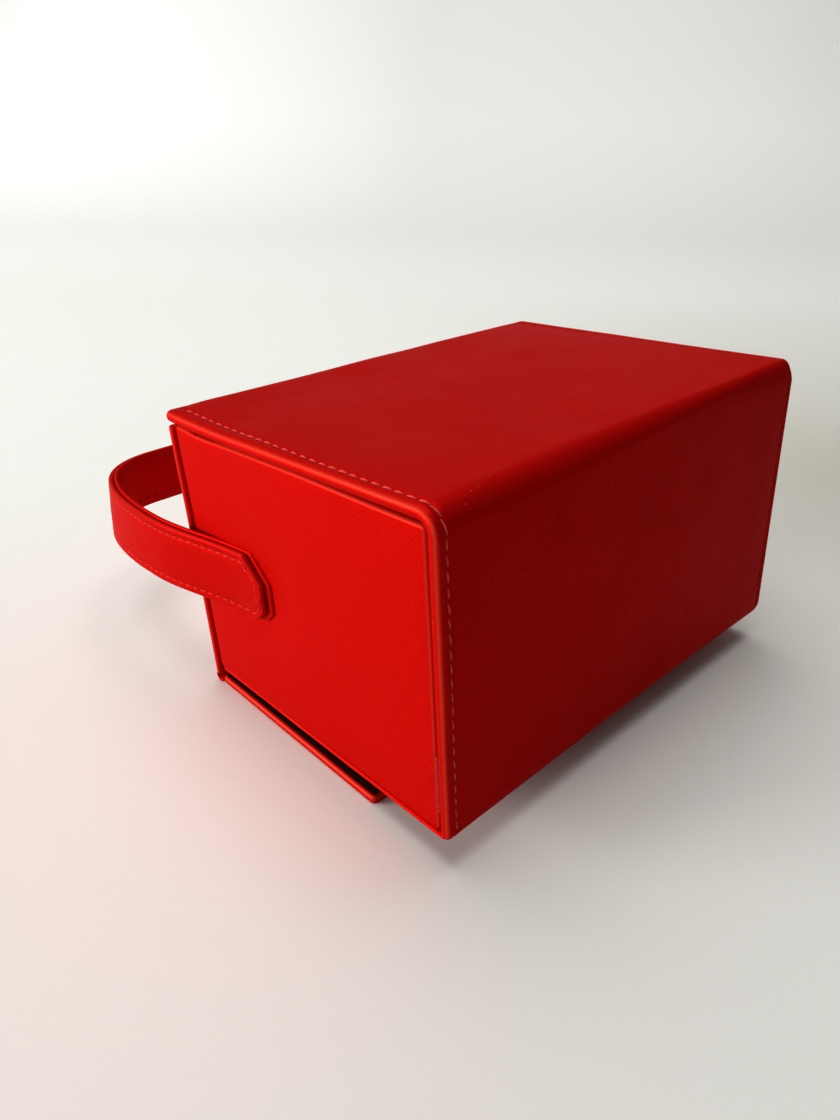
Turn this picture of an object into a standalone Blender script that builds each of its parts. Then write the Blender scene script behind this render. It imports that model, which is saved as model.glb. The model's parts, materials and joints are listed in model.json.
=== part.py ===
"""Rigid satin box handbag with a strap handle, lying on its closing flap.

The bag is modelled the way it lies: on the outside of its front flap, with its back
panel up, its base to +X and its lid to -X. Lengths are in metres.

Two frames are used. The box frame has its origin at the near, lid-side, front corner:
X runs from the lid to the base, Y along the bag, Z from the front to the back. The flap
frame has its origin on the flap's fold line, X along the flap and Z towards the box.
In the world the flap lies flat, so the box frame is tipped by the flap's angle. The front
panel slopes out towards the base, in a frame of its own.
"""

import math

import bmesh
import bpy
from mathutils import Matrix, Vector

# Overall box, from the outside of the cover
BOX_DEPTH_X = 0.101
BOX_LENGTH_Y = 0.145
BOX_HEIGHT_Z = 0.083

# Gap left between pieces that touch
CLEAR = 0.0003

# Cover: the padded board that makes the back and the base in one fold
COVER_T = 0.0035
FOLD_R = 0.006
COVER_ROLL = 0.0013
NOSE_OUT = 0.0006
FOOT_DROP = 0.0008
NOSE_CORNER_R = 0.0020
FOOT_CORNER_R = 0.0040

# Lid and closing flap boards
LID_T = 0.0022
LID_INSET = -0.0003
LID_EDGE_INSET = 0.0005
FLAP_T = 0.0025
FLAP_LENGTH = 0.0715
FLAP_CORNER_R = 0.0015
BOARD_ROLL = 0.0006

# Cloth at the two folds
HINGE_CLOTH_T = 0.0005
LID_CLOTH_WIDTH = 0.012
FLAP_FOLD_R = 0.0019
FLAP_ROOT_GAP = 0.0017
FLAP_FOLD_FROM = math.radians(180)
FLAP_FOLD_TO = math.radians(325)

# Inner box: end panels, front panel and lining
RIM_GAP = 0.0017
END_T = 0.0025
END_SETBACK = 0.0015
END_GROOVE = 0.0010
END_CORNER_R = 0.0012
FRONT_T = 0.0014
FRONT_SETBACK = 0.0008
FRONT_RISE = 0.0024
FRONT_TILT = math.radians(2.0)
LINING_T = 0.0008
LINING_RIM = 0.0003

# Handle: two stitched layers, bowed out past the end panels and leaning in at the arch
STRAP_WIDTH = 0.0194
STRAP_EDGE_STEP = 0.0004
STRAP_INNER_T = 0.0010
STRAP_OUTER_T = 0.0015
STRAP_CENTRE_Z = 0.0416
STRAP_ROLL = 0.0004
TAB_END_X = 0.0372
TAB_STEP = 0.0018
TAB_CHAMFER = 0.0072
TAB_LIFT_X = 0.0303
BOW_X = -0.0125
BOW_OUT = 0.0048
BOW_REACH = 0.74
ARCH_X = -0.0663
ARCH_TURN = 0.0271
ARCH_REACH = 0.58
ARCH_LEAN = 0.0021
LEAN_RUN = 0.090
STATIONS = 14

# Rivets that hold the inner layer of the handle to each end panel, side by side
RIVET_X = 0.0314
RIVET_SPREAD = 0.0048
RIVET_SHANK_R = 0.0008
RIVET_HEAD_R = 0.0016
RIVET_HEAD_T = 0.0006
RIVET_TAIL_R = 0.0015
RIVET_TAIL_T = 0.0006

# Magnet pair that closes the flap
MAGNET_R = 0.0070
MAGNET_X = 0.0580
FRONT_MAGNET_T = 0.0022
FLAP_MAGNET_T = 0.0022
MAGNET_SEAT = 0.0006
MAGNET_GAP = 0.0009
MAGNET_EDGE = 0.0003

ROUND_SIDES = 24
EDGE_TINY = 1e-5

# Places that follow from the sizes above
LID_FOLD_Z = BOX_HEIGHT_Z - COVER_T - 2 * CLEAR - HINGE_CLOTH_T
LID_IN_X = LID_INSET + LID_T
RIM_X = LID_IN_X + RIM_GAP
BASE_IN_X = BOX_DEPTH_X - COVER_T
BACK_IN_Z = BOX_HEIGHT_Z - COVER_T
FRONT_SLOPE = math.tan(FRONT_TILT)
FRONT_IN_Z = FRONT_RISE + FRONT_T / math.cos(FRONT_TILT)
FLAP_FOLD_X = LID_INSET + FLAP_FOLD_R
FLAP_FOLD_Z = FRONT_RISE - FLAP_ROOT_GAP - (FLAP_T - FLAP_FOLD_R)
FLAP_OUT_Z = -FLAP_FOLD_R
FLAP_IN_Z = FLAP_T - FLAP_FOLD_R
STRAP_T = STRAP_INNER_T + CLEAR + STRAP_OUTER_T
FRONT_MAGNET_PROUD = FRONT_MAGNET_T + CLEAR - MAGNET_SEAT
FLAP_MAGNET_PROUD = FLAP_MAGNET_T + CLEAR - MAGNET_SEAT
MAGNET_REACH = MAGNET_X - FLAP_FOLD_X
MAGNET_STACK = FRONT_MAGNET_PROUD + FLAP_MAGNET_PROUD + MAGNET_GAP
FLAP_ANGLE = FRONT_TILT + math.asin((MAGNET_STACK - FLAP_ROOT_GAP) / MAGNET_REACH)


def clear_scene():
    for old in list(bpy.data.objects):
        bpy.data.objects.remove(old)


def material(name, colour, roughness, metallic=0.0, sheen=0.0):
    made = bpy.data.materials.new(name)
    made.use_nodes = True
    shader = made.node_tree.nodes["Principled BSDF"]
    shader.inputs["Base Color"].default_value = (*colour, 1.0)
    shader.inputs["Roughness"].default_value = roughness
    shader.inputs["Metallic"].default_value = metallic
    shader.inputs["Sheen Weight"].default_value = sheen
    made.diffuse_color = (*colour, 1.0)
    return made


def empty(name, parent, place, turn_y=0.0):
    made = bpy.data.objects.new(name, None)
    bpy.context.scene.collection.objects.link(made)
    made.parent = parent
    made.location = place
    made.rotation_euler = (0.0, turn_y, 0.0)
    return made


def add_object(name, mesh_maker, look, parent, place=(0.0, 0.0, 0.0)):
    """Makes a named object whose mesh is what mesh_maker draws, and parents it."""
    mesh = bpy.data.meshes.new(name)
    shape = bmesh.new()
    mesh_maker(shape)
    bmesh.ops.recalc_face_normals(shape, faces=shape.faces)
    shape.to_mesh(mesh)
    shape.free()
    made = bpy.data.objects.new(name, mesh)
    bpy.context.scene.collection.objects.link(made)
    made.parent = parent
    made.location = place
    if look:
        mesh.materials.append(look)
        mesh.shade_smooth()
        mesh.set_sharp_from_angle(angle=math.radians(40))
    return made


def arc(centre, radius, start, end, steps):
    """Points on an arc, its two ends among them."""
    points = []
    for step in range(steps + 1):
        angle = start + (end - start) * step / steps
        x = centre[0] + radius * math.cos(angle)
        points.append((x, centre[1] + radius * math.sin(angle)))
    return points


def rounded_rectangle(x0, x1, z0, z1, radius, steps=4):
    right = math.radians(90)
    points = arc((x1 - radius, z0 + radius), radius, -right, 0.0, steps)
    points += arc((x1 - radius, z1 - radius), radius, 0.0, right, steps)
    points += arc((x0 + radius, z1 - radius), radius, right, 2 * right, steps)
    points += arc((x0 + radius, z0 + radius), radius, 2 * right, 3 * right, steps)
    return points


def sloped_below(points, x0, middle):
    """Lowers the points under the middle height along the front panel's slope."""
    return [(x, z - (x - x0) * FRONT_SLOPE if z < middle else z) for x, z in points]


def extruded(outline, y0, y1):
    """A mesh maker: an X-Z outline drawn from y0 to y1."""

    def draw(shape):
        ring = [shape.verts.new((x, y0, z)) for x, z in outline]
        face = shape.faces.new(ring)
        grown = bmesh.ops.extrude_face_region(shape, geom=[face])
        moved = [v for v in grown["geom"] if isinstance(v, bmesh.types.BMVert)]
        bmesh.ops.translate(shape, verts=moved, vec=(0.0, y1 - y0, 0.0))

    return draw


def soften(piece, width, segments=2):
    """Rounds the piece's right-angled rims and leaves its curved outline as it is."""
    bevel = piece.modifiers.new("rolled_rim", "BEVEL")
    bevel.limit_method = "ANGLE"
    bevel.angle_limit = math.radians(50)
    bevel.width = width
    bevel.segments = segments
    bevel.use_clamp_overlap = True


def cut(piece, cutter):
    boolean = piece.modifiers.new("cut_" + cutter.name, "BOOLEAN")
    boolean.operation = "DIFFERENCE"
    boolean.solver = "EXACT"
    boolean.object = cutter


def disc_cutter(name, parent, centre, radius, along, span):
    """A hidden cylinder from span[0] to span[1] along Y or Z, through centre."""

    def draw(shape):
        depth = span[1] - span[0]
        turn = Matrix.Rotation(math.radians(90), 4, "X") if along == "Y" else Matrix.Identity(4)
        bmesh.ops.create_cone(
            shape,
            cap_ends=True,
            segments=ROUND_SIDES,
            radius1=radius,
            radius2=radius,
            depth=depth,
            matrix=turn,
        )

    middle = (span[0] + span[1]) / 2
    place = (centre[0], middle, centre[1]) if along == "Y" else (centre[0], centre[1], middle)
    made = add_object(name, draw, None, parent, place)
    made.hide_render = True
    made.display_type = "WIRE"
    return made


def turned(profile, along):
    """A mesh maker: a closed (radius, height) profile turned about Y or Z."""

    def draw(shape):
        points = [shape.verts.new((radius, 0.0, height)) for radius, height in profile]
        edges = [shape.edges.new(pair) for pair in zip(points, points[1:])]
        bmesh.ops.spin(
            shape,
            geom=points + edges,
            cent=(0.0, 0.0, 0.0),
            axis=(0.0, 0.0, 1.0),
            angle=math.radians(360),
            steps=ROUND_SIDES,
            use_duplicate=False,
        )
        bmesh.ops.remove_doubles(shape, verts=shape.verts, dist=1e-6)
        if along == "Y":
            turn = Matrix.Rotation(math.radians(90), 3, "X")
            bmesh.ops.rotate(shape, verts=shape.verts, cent=(0, 0, 0), matrix=turn)

    return draw


def cover_outline(nose_back, foot_back):
    """Back and base in one: two straight runs, a soft fold and two rounded noses."""
    half = COVER_T / 2
    quarter = math.radians(90)
    nose = (half - NOSE_OUT + nose_back, BOX_HEIGHT_Z - half)
    foot = (BOX_DEPTH_X - half, half - FOOT_DROP + foot_back)
    fold = (BOX_DEPTH_X - FOLD_R, BOX_HEIGHT_Z - FOLD_R)
    points = arc(nose, half, quarter, 3 * quarter, 8)
    points += arc(fold, FOLD_R - COVER_T, quarter, 0.0, 6)
    points += arc(foot, half, 2 * quarter, 4 * quarter, 8)
    points += arc(fold, FOLD_R, 0.0, quarter, 10)
    return points


def corner_back(radius, inset):
    """How far a board's edge falls back at a distance from its end, with a rounded corner."""
    left = max(radius - inset, 0.0)
    return radius - math.sqrt(radius**2 - left**2)


def build_cover(frame, look):
    """The cover is lofted along Y, so that its free corners are round in its own plane."""
    quarter = math.radians(90)
    insets = [FOOT_CORNER_R * (1.0 - math.cos(quarter * step / 5)) for step in range(1, 6)]
    stations = [COVER_ROLL] + [inset for inset in insets if inset > 2 * COVER_ROLL]
    stations = [0.0] + stations
    stations += [BOX_LENGTH_Y - inset for inset in reversed(stations)]

    def draw(shape):
        rings = []
        for y in stations:
            inset = min(y, BOX_LENGTH_Y - y)
            outline = cover_outline(corner_back(NOSE_CORNER_R, inset), corner_back(FOOT_CORNER_R, inset))
            rings.append([shape.verts.new((x, y, z)) for x, z in outline])
        for a, b in zip(rings, rings[1:]):
            for number in range(len(a)):
                after = (number + 1) % len(a)
                shape.faces.new((a[number], a[after], b[after], b[number]))
        shape.faces.new(rings[0])
        shape.faces.new(rings[-1])

    cover = add_object("back_and_base_cover", draw, look, frame)
    soften(cover, COVER_ROLL * 0.9, 3)


def end_side(far):
    """Outer and inner Y of an end panel, and the direction that points out of the box."""
    outer = BOX_LENGTH_Y - END_SETBACK if far else END_SETBACK
    out = 1.0 if far else -1.0
    return outer, outer - out * END_T, out


def rivet_heights():
    return (STRAP_CENTRE_Z - RIVET_SPREAD / 2, STRAP_CENTRE_Z + RIVET_SPREAD / 2)


def build_end_panel(frame, look, name, far):
    outer, inner, out = end_side(far)
    x1 = BASE_IN_X - END_GROOVE
    z0 = FRONT_IN_Z + CLEAR
    z1 = BACK_IN_Z - END_GROOVE
    outline = rounded_rectangle(RIM_X, x1, z0, z1, END_CORNER_R)
    outline = sloped_below(outline, RIM_X, (z0 + z1) / 2)
    panel = add_object(name, extruded(outline, min(outer, inner), max(outer, inner)), look, frame)
    soften(panel, BOARD_ROLL)
    pocket_floor = inner + out * (RIVET_TAIL_T + 2 * CLEAR)
    for number, rivet_z in enumerate(rivet_heights()):
        centre = (RIVET_X, rivet_z)
        through = sorted((inner - out * END_T, outer + out * END_T))
        hole = disc_cutter(f"{name}_hole_{number}", frame, centre, RIVET_SHANK_R + CLEAR, "Y", through)
        cut(panel, hole)
        span = sorted((inner - out * END_T, pocket_floor))
        pocket = disc_cutter(f"{name}_pocket_{number}", frame, centre, RIVET_TAIL_R + CLEAR, "Y", span)
        cut(panel, pocket)


def build_front_panel(front_axis, look):
    """The front panel slopes out towards the base, so its own frame has Z = 0 on its outside."""
    length = (BASE_IN_X - CLEAR - RIM_X) / math.cos(FRONT_TILT) - FRONT_T * math.sin(FRONT_TILT)
    outline = rounded_rectangle(0.0, length, 0.0, FRONT_T, BOARD_ROLL / 2, 2)
    y1 = BOX_LENGTH_Y - FRONT_SETBACK
    panel = add_object("front_panel", extruded(outline, FRONT_SETBACK, y1), look, front_axis)
    soften(panel, BOARD_ROLL / 2)
    span = (-FRONT_T, MAGNET_SEAT)
    centre = (MAGNET_X - RIM_X, BOX_LENGTH_Y / 2)
    cut(panel, disc_cutter("front_magnet_seat", front_axis, centre, MAGNET_R + CLEAR, "Z", span))


def build_lining(frame, look):
    """A thin tray, open towards the lid, with its own wall all round."""
    x0 = RIM_X + LINING_RIM
    x1 = BASE_IN_X - CLEAR
    y0 = END_SETBACK + END_T + CLEAR
    y1 = BOX_LENGTH_Y - y0
    z0 = FRONT_IN_Z + CLEAR
    z1 = BACK_IN_Z - 2 * CLEAR - HINGE_CLOTH_T

    def draw(shape):
        bmesh.ops.create_cube(shape, size=1.0)
        size = Matrix.Diagonal((x1 - x0, y1 - y0, z1 - z0, 1.0))
        centre = Matrix.Translation(((x0 + x1) / 2, (y0 + y1) / 2, (z0 + z1) / 2))
        bmesh.ops.transform(shape, matrix=centre @ size, verts=shape.verts)
        mouth = min(shape.faces, key=lambda face: face.calc_center_median().x)
        bmesh.ops.inset_region(shape, faces=[mouth], thickness=LINING_T)
        floor = bmesh.ops.extrude_discrete_faces(shape, faces=[mouth])["faces"][0]
        bmesh.ops.translate(shape, verts=floor.verts, vec=(x1 - x0 - LINING_T, 0.0, 0.0))
        corner = []
        for edge in shape.edges:
            if all(v.co.x > x1 - EDGE_TINY and v.co.z > z1 - EDGE_TINY for v in edge.verts):
                corner.append(edge)
        radius = FOLD_R - COVER_T
        bmesh.ops.bevel(shape, geom=corner, offset=radius, segments=4, profile=0.5, affect="EDGES")
        for vert in shape.verts:
            if vert.co.z < (z0 + z1) / 2:
                vert.co.z -= (vert.co.x - RIM_X) * FRONT_SLOPE

    add_object("inner_lining", draw, look, frame)


def build_lid_cloth(frame, look):
    z1 = BACK_IN_Z - CLEAR
    outline = [
        (LID_INSET + CLEAR, z1 - HINGE_CLOTH_T),
        (LID_INSET + LID_CLOTH_WIDTH, z1 - HINGE_CLOTH_T),
        (LID_INSET + LID_CLOTH_WIDTH, z1),
        (LID_INSET + CLEAR, z1),
    ]
    y1 = BOX_LENGTH_Y - LID_EDGE_INSET
    add_object("lid_hinge_cloth", extruded(outline, LID_EDGE_INSET, y1), look, frame)


def build_lid(lid_axis, look):
    """The lid board hangs from its fold, so its own frame has Z = 0 at the fold."""
    top = -CLEAR
    bottom = FLAP_FOLD_Z + CLEAR - LID_FOLD_Z
    outline = rounded_rectangle(0.0, LID_T, bottom, top, BOARD_ROLL)
    y1 = BOX_LENGTH_Y - LID_EDGE_INSET
    panel = add_object("lid_panel", extruded(outline, LID_EDGE_INSET, y1), look, lid_axis)
    soften(panel, BOARD_ROLL)


def build_flap_cloth(lid_axis, look):
    """The cloth round the fold between lid and flap, an arc about the fold line."""
    centre = (FLAP_FOLD_X - LID_INSET, FLAP_FOLD_Z - LID_FOLD_Z)
    outer = arc(centre, FLAP_FOLD_R, FLAP_FOLD_FROM, FLAP_FOLD_TO, 12)
    inner = arc(centre, FLAP_FOLD_R - HINGE_CLOTH_T, FLAP_FOLD_TO, FLAP_FOLD_FROM, 12)
    y1 = BOX_LENGTH_Y - LID_EDGE_INSET
    add_object("flap_hinge_cloth", extruded(outer + inner, LID_EDGE_INSET, y1), look, lid_axis)


def build_flap(flap_axis, look):
    """The flap board, its root hollowed to swing round the cloth at the fold."""
    hollow = FLAP_FOLD_R + CLEAR
    low = -math.acos(math.sqrt(hollow**2 - FLAP_OUT_Z**2) / hollow)
    high = math.asin(FLAP_IN_Z / hollow)
    root = arc((0.0, 0.0), hollow, high, low, 6)
    outline = root + [(FLAP_LENGTH, FLAP_OUT_Z), (FLAP_LENGTH, FLAP_IN_Z)]
    y1 = BOX_LENGTH_Y - LID_EDGE_INSET

    def draw(shape):
        extruded(outline, LID_EDGE_INSET, y1)(shape)
        corners = []
        for edge in shape.edges:
            ends = [v.co for v in edge.verts]
            upright = abs(ends[0].z - ends[1].z) > FLAP_T / 2
            if upright and min(e.x for e in ends) > FLAP_LENGTH / 2:
                corners.append(edge)
        bmesh.ops.bevel(
            shape, geom=corners, offset=FLAP_CORNER_R, segments=4, profile=0.5, affect="EDGES"
        )

    panel = add_object("closing_flap", draw, look, flap_axis)
    soften(panel, BOARD_ROLL)
    span = (FLAP_IN_Z - MAGNET_SEAT, FLAP_IN_Z + FLAP_T)
    centre = (MAGNET_REACH, BOX_LENGTH_Y / 2)
    cut(panel, disc_cutter("flap_magnet_seat", flap_axis, centre, MAGNET_R + CLEAR, "Z", span))


def magnet_profile(thickness):
    """A flat cased disc with a small rounded shoulder on its upper face."""
    return [
        (0.0, 0.0),
        (MAGNET_R, 0.0),
        (MAGNET_R, thickness - MAGNET_EDGE),
        (MAGNET_R - MAGNET_EDGE, thickness),
        (0.0, thickness),
    ]


def build_magnets(front_axis, flap_axis, look):
    middle = BOX_LENGTH_Y / 2
    place = (MAGNET_X - RIM_X, middle, MAGNET_SEAT - CLEAR)
    shape = turned(magnet_profile(FRONT_MAGNET_T), "Z")
    front = add_object("front_magnet", shape, look, front_axis, place)
    front.rotation_euler = (math.radians(180), 0.0, 0.0)
    place = (MAGNET_REACH, middle, FLAP_IN_Z - MAGNET_SEAT + CLEAR)
    add_object("flap_magnet", turned(magnet_profile(FLAP_MAGNET_T), "Z"), look, flap_axis, place)


def bezier(start, start_handle, end_handle, end, steps):
    points = []
    for step in range(steps):
        t = step / steps
        a = start.lerp(start_handle, t)
        b = start_handle.lerp(end_handle, t)
        c = end_handle.lerp(end, t)
        points.append(a.lerp(b, t).lerp(b.lerp(c, t), t))
    return points


def strap_path():
    """The inner face of the handle in plan, from the near tab to the far one."""
    tab_y = END_SETBACK - CLEAR
    middle = BOX_LENGTH_Y / 2
    lift = Vector((TAB_LIFT_X, tab_y))
    bow = Vector((BOW_X, tab_y - BOW_OUT))
    reach = Vector(((TAB_LIFT_X - BOW_X) / 3, 0.0))
    turn = Vector((ARCH_X, bow.y + ARCH_TURN))
    crown = Vector((ARCH_X, middle))
    half = [Vector((TAB_END_X, tab_y))]
    half += bezier(lift, lift - reach, bow + reach, bow, STATIONS)
    pull = Vector(((BOW_X - ARCH_X) * BOW_REACH, 0.0))
    push = Vector((0.0, ARCH_TURN * ARCH_REACH))
    half += bezier(bow, bow - pull, turn - push, turn, 2 * STATIONS)
    half += [turn.lerp(crown, step / 4) for step in range(5)]
    far = [Vector((p.x, BOX_LENGTH_Y - p.y)) for p in reversed(half[:-1])]
    return half + far


def measured(points):
    """The distance of each point from the first, along the path."""
    places = [0.0]
    for a, b in zip(points, points[1:]):
        places.append(places[-1] + (b - a).length)
    return places


def point_at(points, places, distance):
    for number in range(len(points) - 1):
        if distance <= places[number + 1] or number == len(points) - 2:
            share = (distance - places[number]) / (places[number + 1] - places[number])
            return points[number].lerp(points[number + 1], share)


def half_width(full, run):
    """Half the strap's width at a distance from its end: the tab's corners are cut off."""
    return full - max(TAB_CHAMFER - run, 0.0)


def lean_at(run):
    """How far the top edge leans in over the strap's width: none at the tab, all at the arch."""
    t = min(run / LEAN_RUN, 1.0)
    return ARCH_LEAN * t * t * (3.0 - 2.0 * t)


def strap_layer(path, near_face, thickness, step_back, edge_step):
    """A mesh maker: a band that follows the path, from near_face to that plus thickness."""
    full = STRAP_WIDTH / 2 - edge_step

    def draw(shape):
        places = measured(path)
        length = places[-1]
        corner = step_back + TAB_CHAMFER
        middle = [d for d in places if corner + EDGE_TINY < d < length - corner - EDGE_TINY]
        stops = [step_back, corner] + middle + [length - corner, length - step_back]
        points = [point_at(path, places, stop) for stop in stops]
        rings = []
        for number, point in enumerate(points):
            ahead = points[min(number + 1, len(points) - 1)]
            behind = points[max(number - 1, 0)]
            along = (ahead - behind).normalized()
            out = Vector((-along.y, along.x))
            run = min(stops[number], length - stops[number])
            half = half_width(full, run - step_back)
            lean = out * lean_at(run) / STRAP_WIDTH
            near = point + out * near_face
            far = point + out * (near_face + thickness)
            corners = ((near, -half), (near, half), (far, half), (far, -half))
            ring = [(p - lean * z, STRAP_CENTRE_Z + z) for p, z in corners]
            rings.append([shape.verts.new((p.x, p.y, z)) for p, z in ring])
        for a, b in zip(rings, rings[1:]):
            for side in range(4):
                after = (side + 1) % 4
                shape.faces.new((a[side], a[after], b[after], b[side]))
        shape.faces.new(rings[0])
        shape.faces.new(rings[-1])

    return draw


def build_handle(frame, satin_out, satin_in):
    path = strap_path()
    layer = strap_layer(path, 0.0, STRAP_INNER_T, 0.0, 0.0)
    inner = add_object("handle_inner_layer", layer, satin_in, frame)
    start = STRAP_INNER_T + CLEAR
    layer = strap_layer(path, start, STRAP_OUTER_T, TAB_STEP, STRAP_EDGE_STEP)
    outer = add_object("handle_outer_layer", layer, satin_out, frame)
    soften(inner, STRAP_ROLL / 2, 1)
    soften(outer, STRAP_ROLL)
    for far in (False, True):
        panel_y, _, out = end_side(far)
        side = "far" if far else "near"
        face = panel_y + out * CLEAR
        head_top = face + out * (STRAP_INNER_T + CLEAR + RIVET_HEAD_T + CLEAR)
        for number, rivet_z in enumerate(rivet_heights()):
            centre = (RIVET_X, rivet_z)
            through = sorted((face - out * STRAP_T, head_top))
            radius = RIVET_SHANK_R + CLEAR
            cut(inner, disc_cutter(f"strap_hole_{side}_{number}", frame, centre, radius, "Y", through))
            pocket = sorted((face, head_top))
            radius = RIVET_HEAD_R + CLEAR
            cut(outer, disc_cutter(f"strap_pocket_{side}_{number}", frame, centre, radius, "Y", pocket))


def rivet_profile():
    """Head at the top, shank, and the clinched tail below. Height 0 is the panel's face."""
    head = STRAP_INNER_T + 2 * CLEAR
    tail = -(END_T - RIVET_TAIL_T - 2 * CLEAR) - CLEAR
    return [
        (0.0, tail - RIVET_TAIL_T),
        (RIVET_TAIL_R * 0.8, tail - RIVET_TAIL_T),
        (RIVET_TAIL_R, tail - RIVET_TAIL_T / 2),
        (RIVET_TAIL_R, tail),
        (RIVET_SHANK_R, tail),
        (RIVET_SHANK_R, head),
        (RIVET_HEAD_R, head),
        (RIVET_HEAD_R * 0.85, head + RIVET_HEAD_T * 0.7),
        (RIVET_HEAD_R * 0.4, head + RIVET_HEAD_T),
        (0.0, head + RIVET_HEAD_T),
    ]


def build_rivets(frame, look, side, far):
    panel_y, _, _ = end_side(far)
    for number, rivet_z in enumerate(rivet_heights()):
        name = f"handle_rivet_{side}_{number + 1}"
        place = (RIVET_X, panel_y, rivet_z)
        rivet = add_object(name, turned(rivet_profile(), "Y"), look, frame, place)
        rivet.rotation_euler = (0.0, 0.0, math.radians(180) if far else 0.0)


def build():
    clear_scene()
    satin = material("red_satin", (0.62, 0.012, 0.006), 0.42, sheen=0.3)
    satin_cloth = material("red_satin_fold", (0.55, 0.010, 0.006), 0.5)
    satin_strap = material("red_satin_strap", (0.60, 0.012, 0.008), 0.42, sheen=0.3)
    satin_backing = material("red_satin_backing", (0.40, 0.006, 0.004), 0.5)
    lining = material("red_lining", (0.32, 0.006, 0.006), 0.6)
    steel = material("plated_steel", (0.62, 0.60, 0.58), 0.3, metallic=1.0)
    brass = material("brass", (0.72, 0.52, 0.22), 0.35, metallic=1.0)

    flap_centre = (FLAP_LENGTH + FLAP_FOLD_R) / 2
    tip = Matrix.Rotation(-FLAP_ANGLE, 3, "Y")
    fold = Vector((FLAP_FOLD_X, BOX_LENGTH_Y / 2, FLAP_FOLD_Z))
    origin = Vector((-flap_centre, 0.0, FLAP_FOLD_R)) - tip @ fold
    frame = empty("bag_frame", None, origin, -FLAP_ANGLE)
    front_axis = empty("front_slope", frame, (RIM_X, 0.0, FRONT_RISE), FRONT_TILT)
    lid_axis = empty("lid_fold", frame, (LID_INSET, 0.0, LID_FOLD_Z))
    flap_place = (FLAP_FOLD_X - LID_INSET, 0.0, FLAP_FOLD_Z - LID_FOLD_Z)
    flap_axis = empty("flap_fold", lid_axis, flap_place, FLAP_ANGLE)

    build_cover(frame, satin)
    build_end_panel(frame, satin, "end_panel_near", False)
    build_end_panel(frame, satin, "end_panel_far", True)
    build_front_panel(front_axis, satin)
    build_lining(frame, lining)
    build_lid_cloth(frame, satin_cloth)
    build_lid(lid_axis, satin)
    build_flap_cloth(lid_axis, satin_cloth)
    build_flap(flap_axis, satin)
    build_magnets(front_axis, flap_axis, steel)
    build_handle(frame, satin_strap, satin_backing)
    build_rivets(frame, brass, "near", False)
    build_rivets(frame, brass, "far", True)


build()
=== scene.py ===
# %% [markdown]
# A rigid evening bag in red satin, lying on its closing flap. The solids come in as a fixed
# frame: they say where every piece is and what moves with what. This script dresses them.
# Each board of the real bag is card wrapped in satin, so each gets a skin of its own, with
# rolled rims and slightly padded faces. The rims are what catch the light on such a bag, and
# a plain box with bevelled edges would miss them.

# %% Load the frame
import json
import math

import bmesh
import bpy
from mathutils import Matrix, Vector, noise


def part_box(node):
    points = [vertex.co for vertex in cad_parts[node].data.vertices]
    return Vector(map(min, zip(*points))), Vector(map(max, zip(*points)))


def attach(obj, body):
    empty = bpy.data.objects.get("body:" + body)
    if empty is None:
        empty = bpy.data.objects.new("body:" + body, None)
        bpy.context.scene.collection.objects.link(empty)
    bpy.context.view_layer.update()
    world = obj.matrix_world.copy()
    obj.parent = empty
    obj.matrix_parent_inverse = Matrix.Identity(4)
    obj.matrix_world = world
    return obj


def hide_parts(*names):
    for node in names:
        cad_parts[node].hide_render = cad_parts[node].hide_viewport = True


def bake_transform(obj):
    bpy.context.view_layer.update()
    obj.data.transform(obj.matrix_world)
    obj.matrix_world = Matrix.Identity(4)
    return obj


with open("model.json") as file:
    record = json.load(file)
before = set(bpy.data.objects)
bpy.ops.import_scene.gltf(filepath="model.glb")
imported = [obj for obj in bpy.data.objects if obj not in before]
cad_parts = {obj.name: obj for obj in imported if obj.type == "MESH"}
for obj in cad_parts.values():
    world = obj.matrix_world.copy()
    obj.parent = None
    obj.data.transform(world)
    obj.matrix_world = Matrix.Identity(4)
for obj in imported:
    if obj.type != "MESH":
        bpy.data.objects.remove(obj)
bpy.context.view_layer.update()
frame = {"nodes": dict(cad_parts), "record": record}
joints = {joint["name"]: joint for joint in frame["record"]["behaviour"]["joints"]}

# %% [markdown]
# The bag is easiest to describe square: X from the lid to the base, Y from the near end
# panel to the far one, Z from the front panel to the back. It lies tipped, because its flap
# stands a little open. The two fold lines are known in both frames, and the turn between
# them is the tip, so one matrix carries everything that is drawn square into its place.

# %% The bag's own square frame
DEPTH = 0.101
LENGTH = 0.145
HEIGHT = 0.083
COVER_T = 0.0035
FOLD_R = 0.006
FOLD_TIGHTENS = 0.0040
LID_LINE = Vector((-0.0003, LENGTH / 2, 0.0784))
FLAP_LINE = Vector((0.0016, LENGTH / 2, 0.0001))
lid_place = Vector(joints["lid_hinge"]["pos_m"])
flap_place = Vector(joints["flap_hinge"]["pos_m"])
square_run = FLAP_LINE - LID_LINE
tipped_run = flap_place - lid_place
TIP = math.atan2(tipped_run.z, tipped_run.x) - math.atan2(square_run.z, square_run.x)
BAG = Matrix.Translation(lid_place) @ Matrix.Rotation(-TIP, 4, "Y") @ Matrix.Translation(-LID_LINE)
print("the bag is tipped by", round(math.degrees(TIP), 2), "degrees")

# %% [markdown]
# The camera stands above the near, base-side corner of the bag. Its place and its three
# axes are given in the bag's square frame, and the same matrix tips them with the bag.

# %% Camera
EYE = Vector((0.20806, -0.10351, 0.14788))
LOOK = Vector((-0.6579, 0.6049, -0.4486))
RIGHT = Vector((0.6929, 0.7196, -0.0458))
SENSOR = 36.0
FOCAL_PIXELS = 859.8
IMAGE_HEIGHT = 1120

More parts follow.
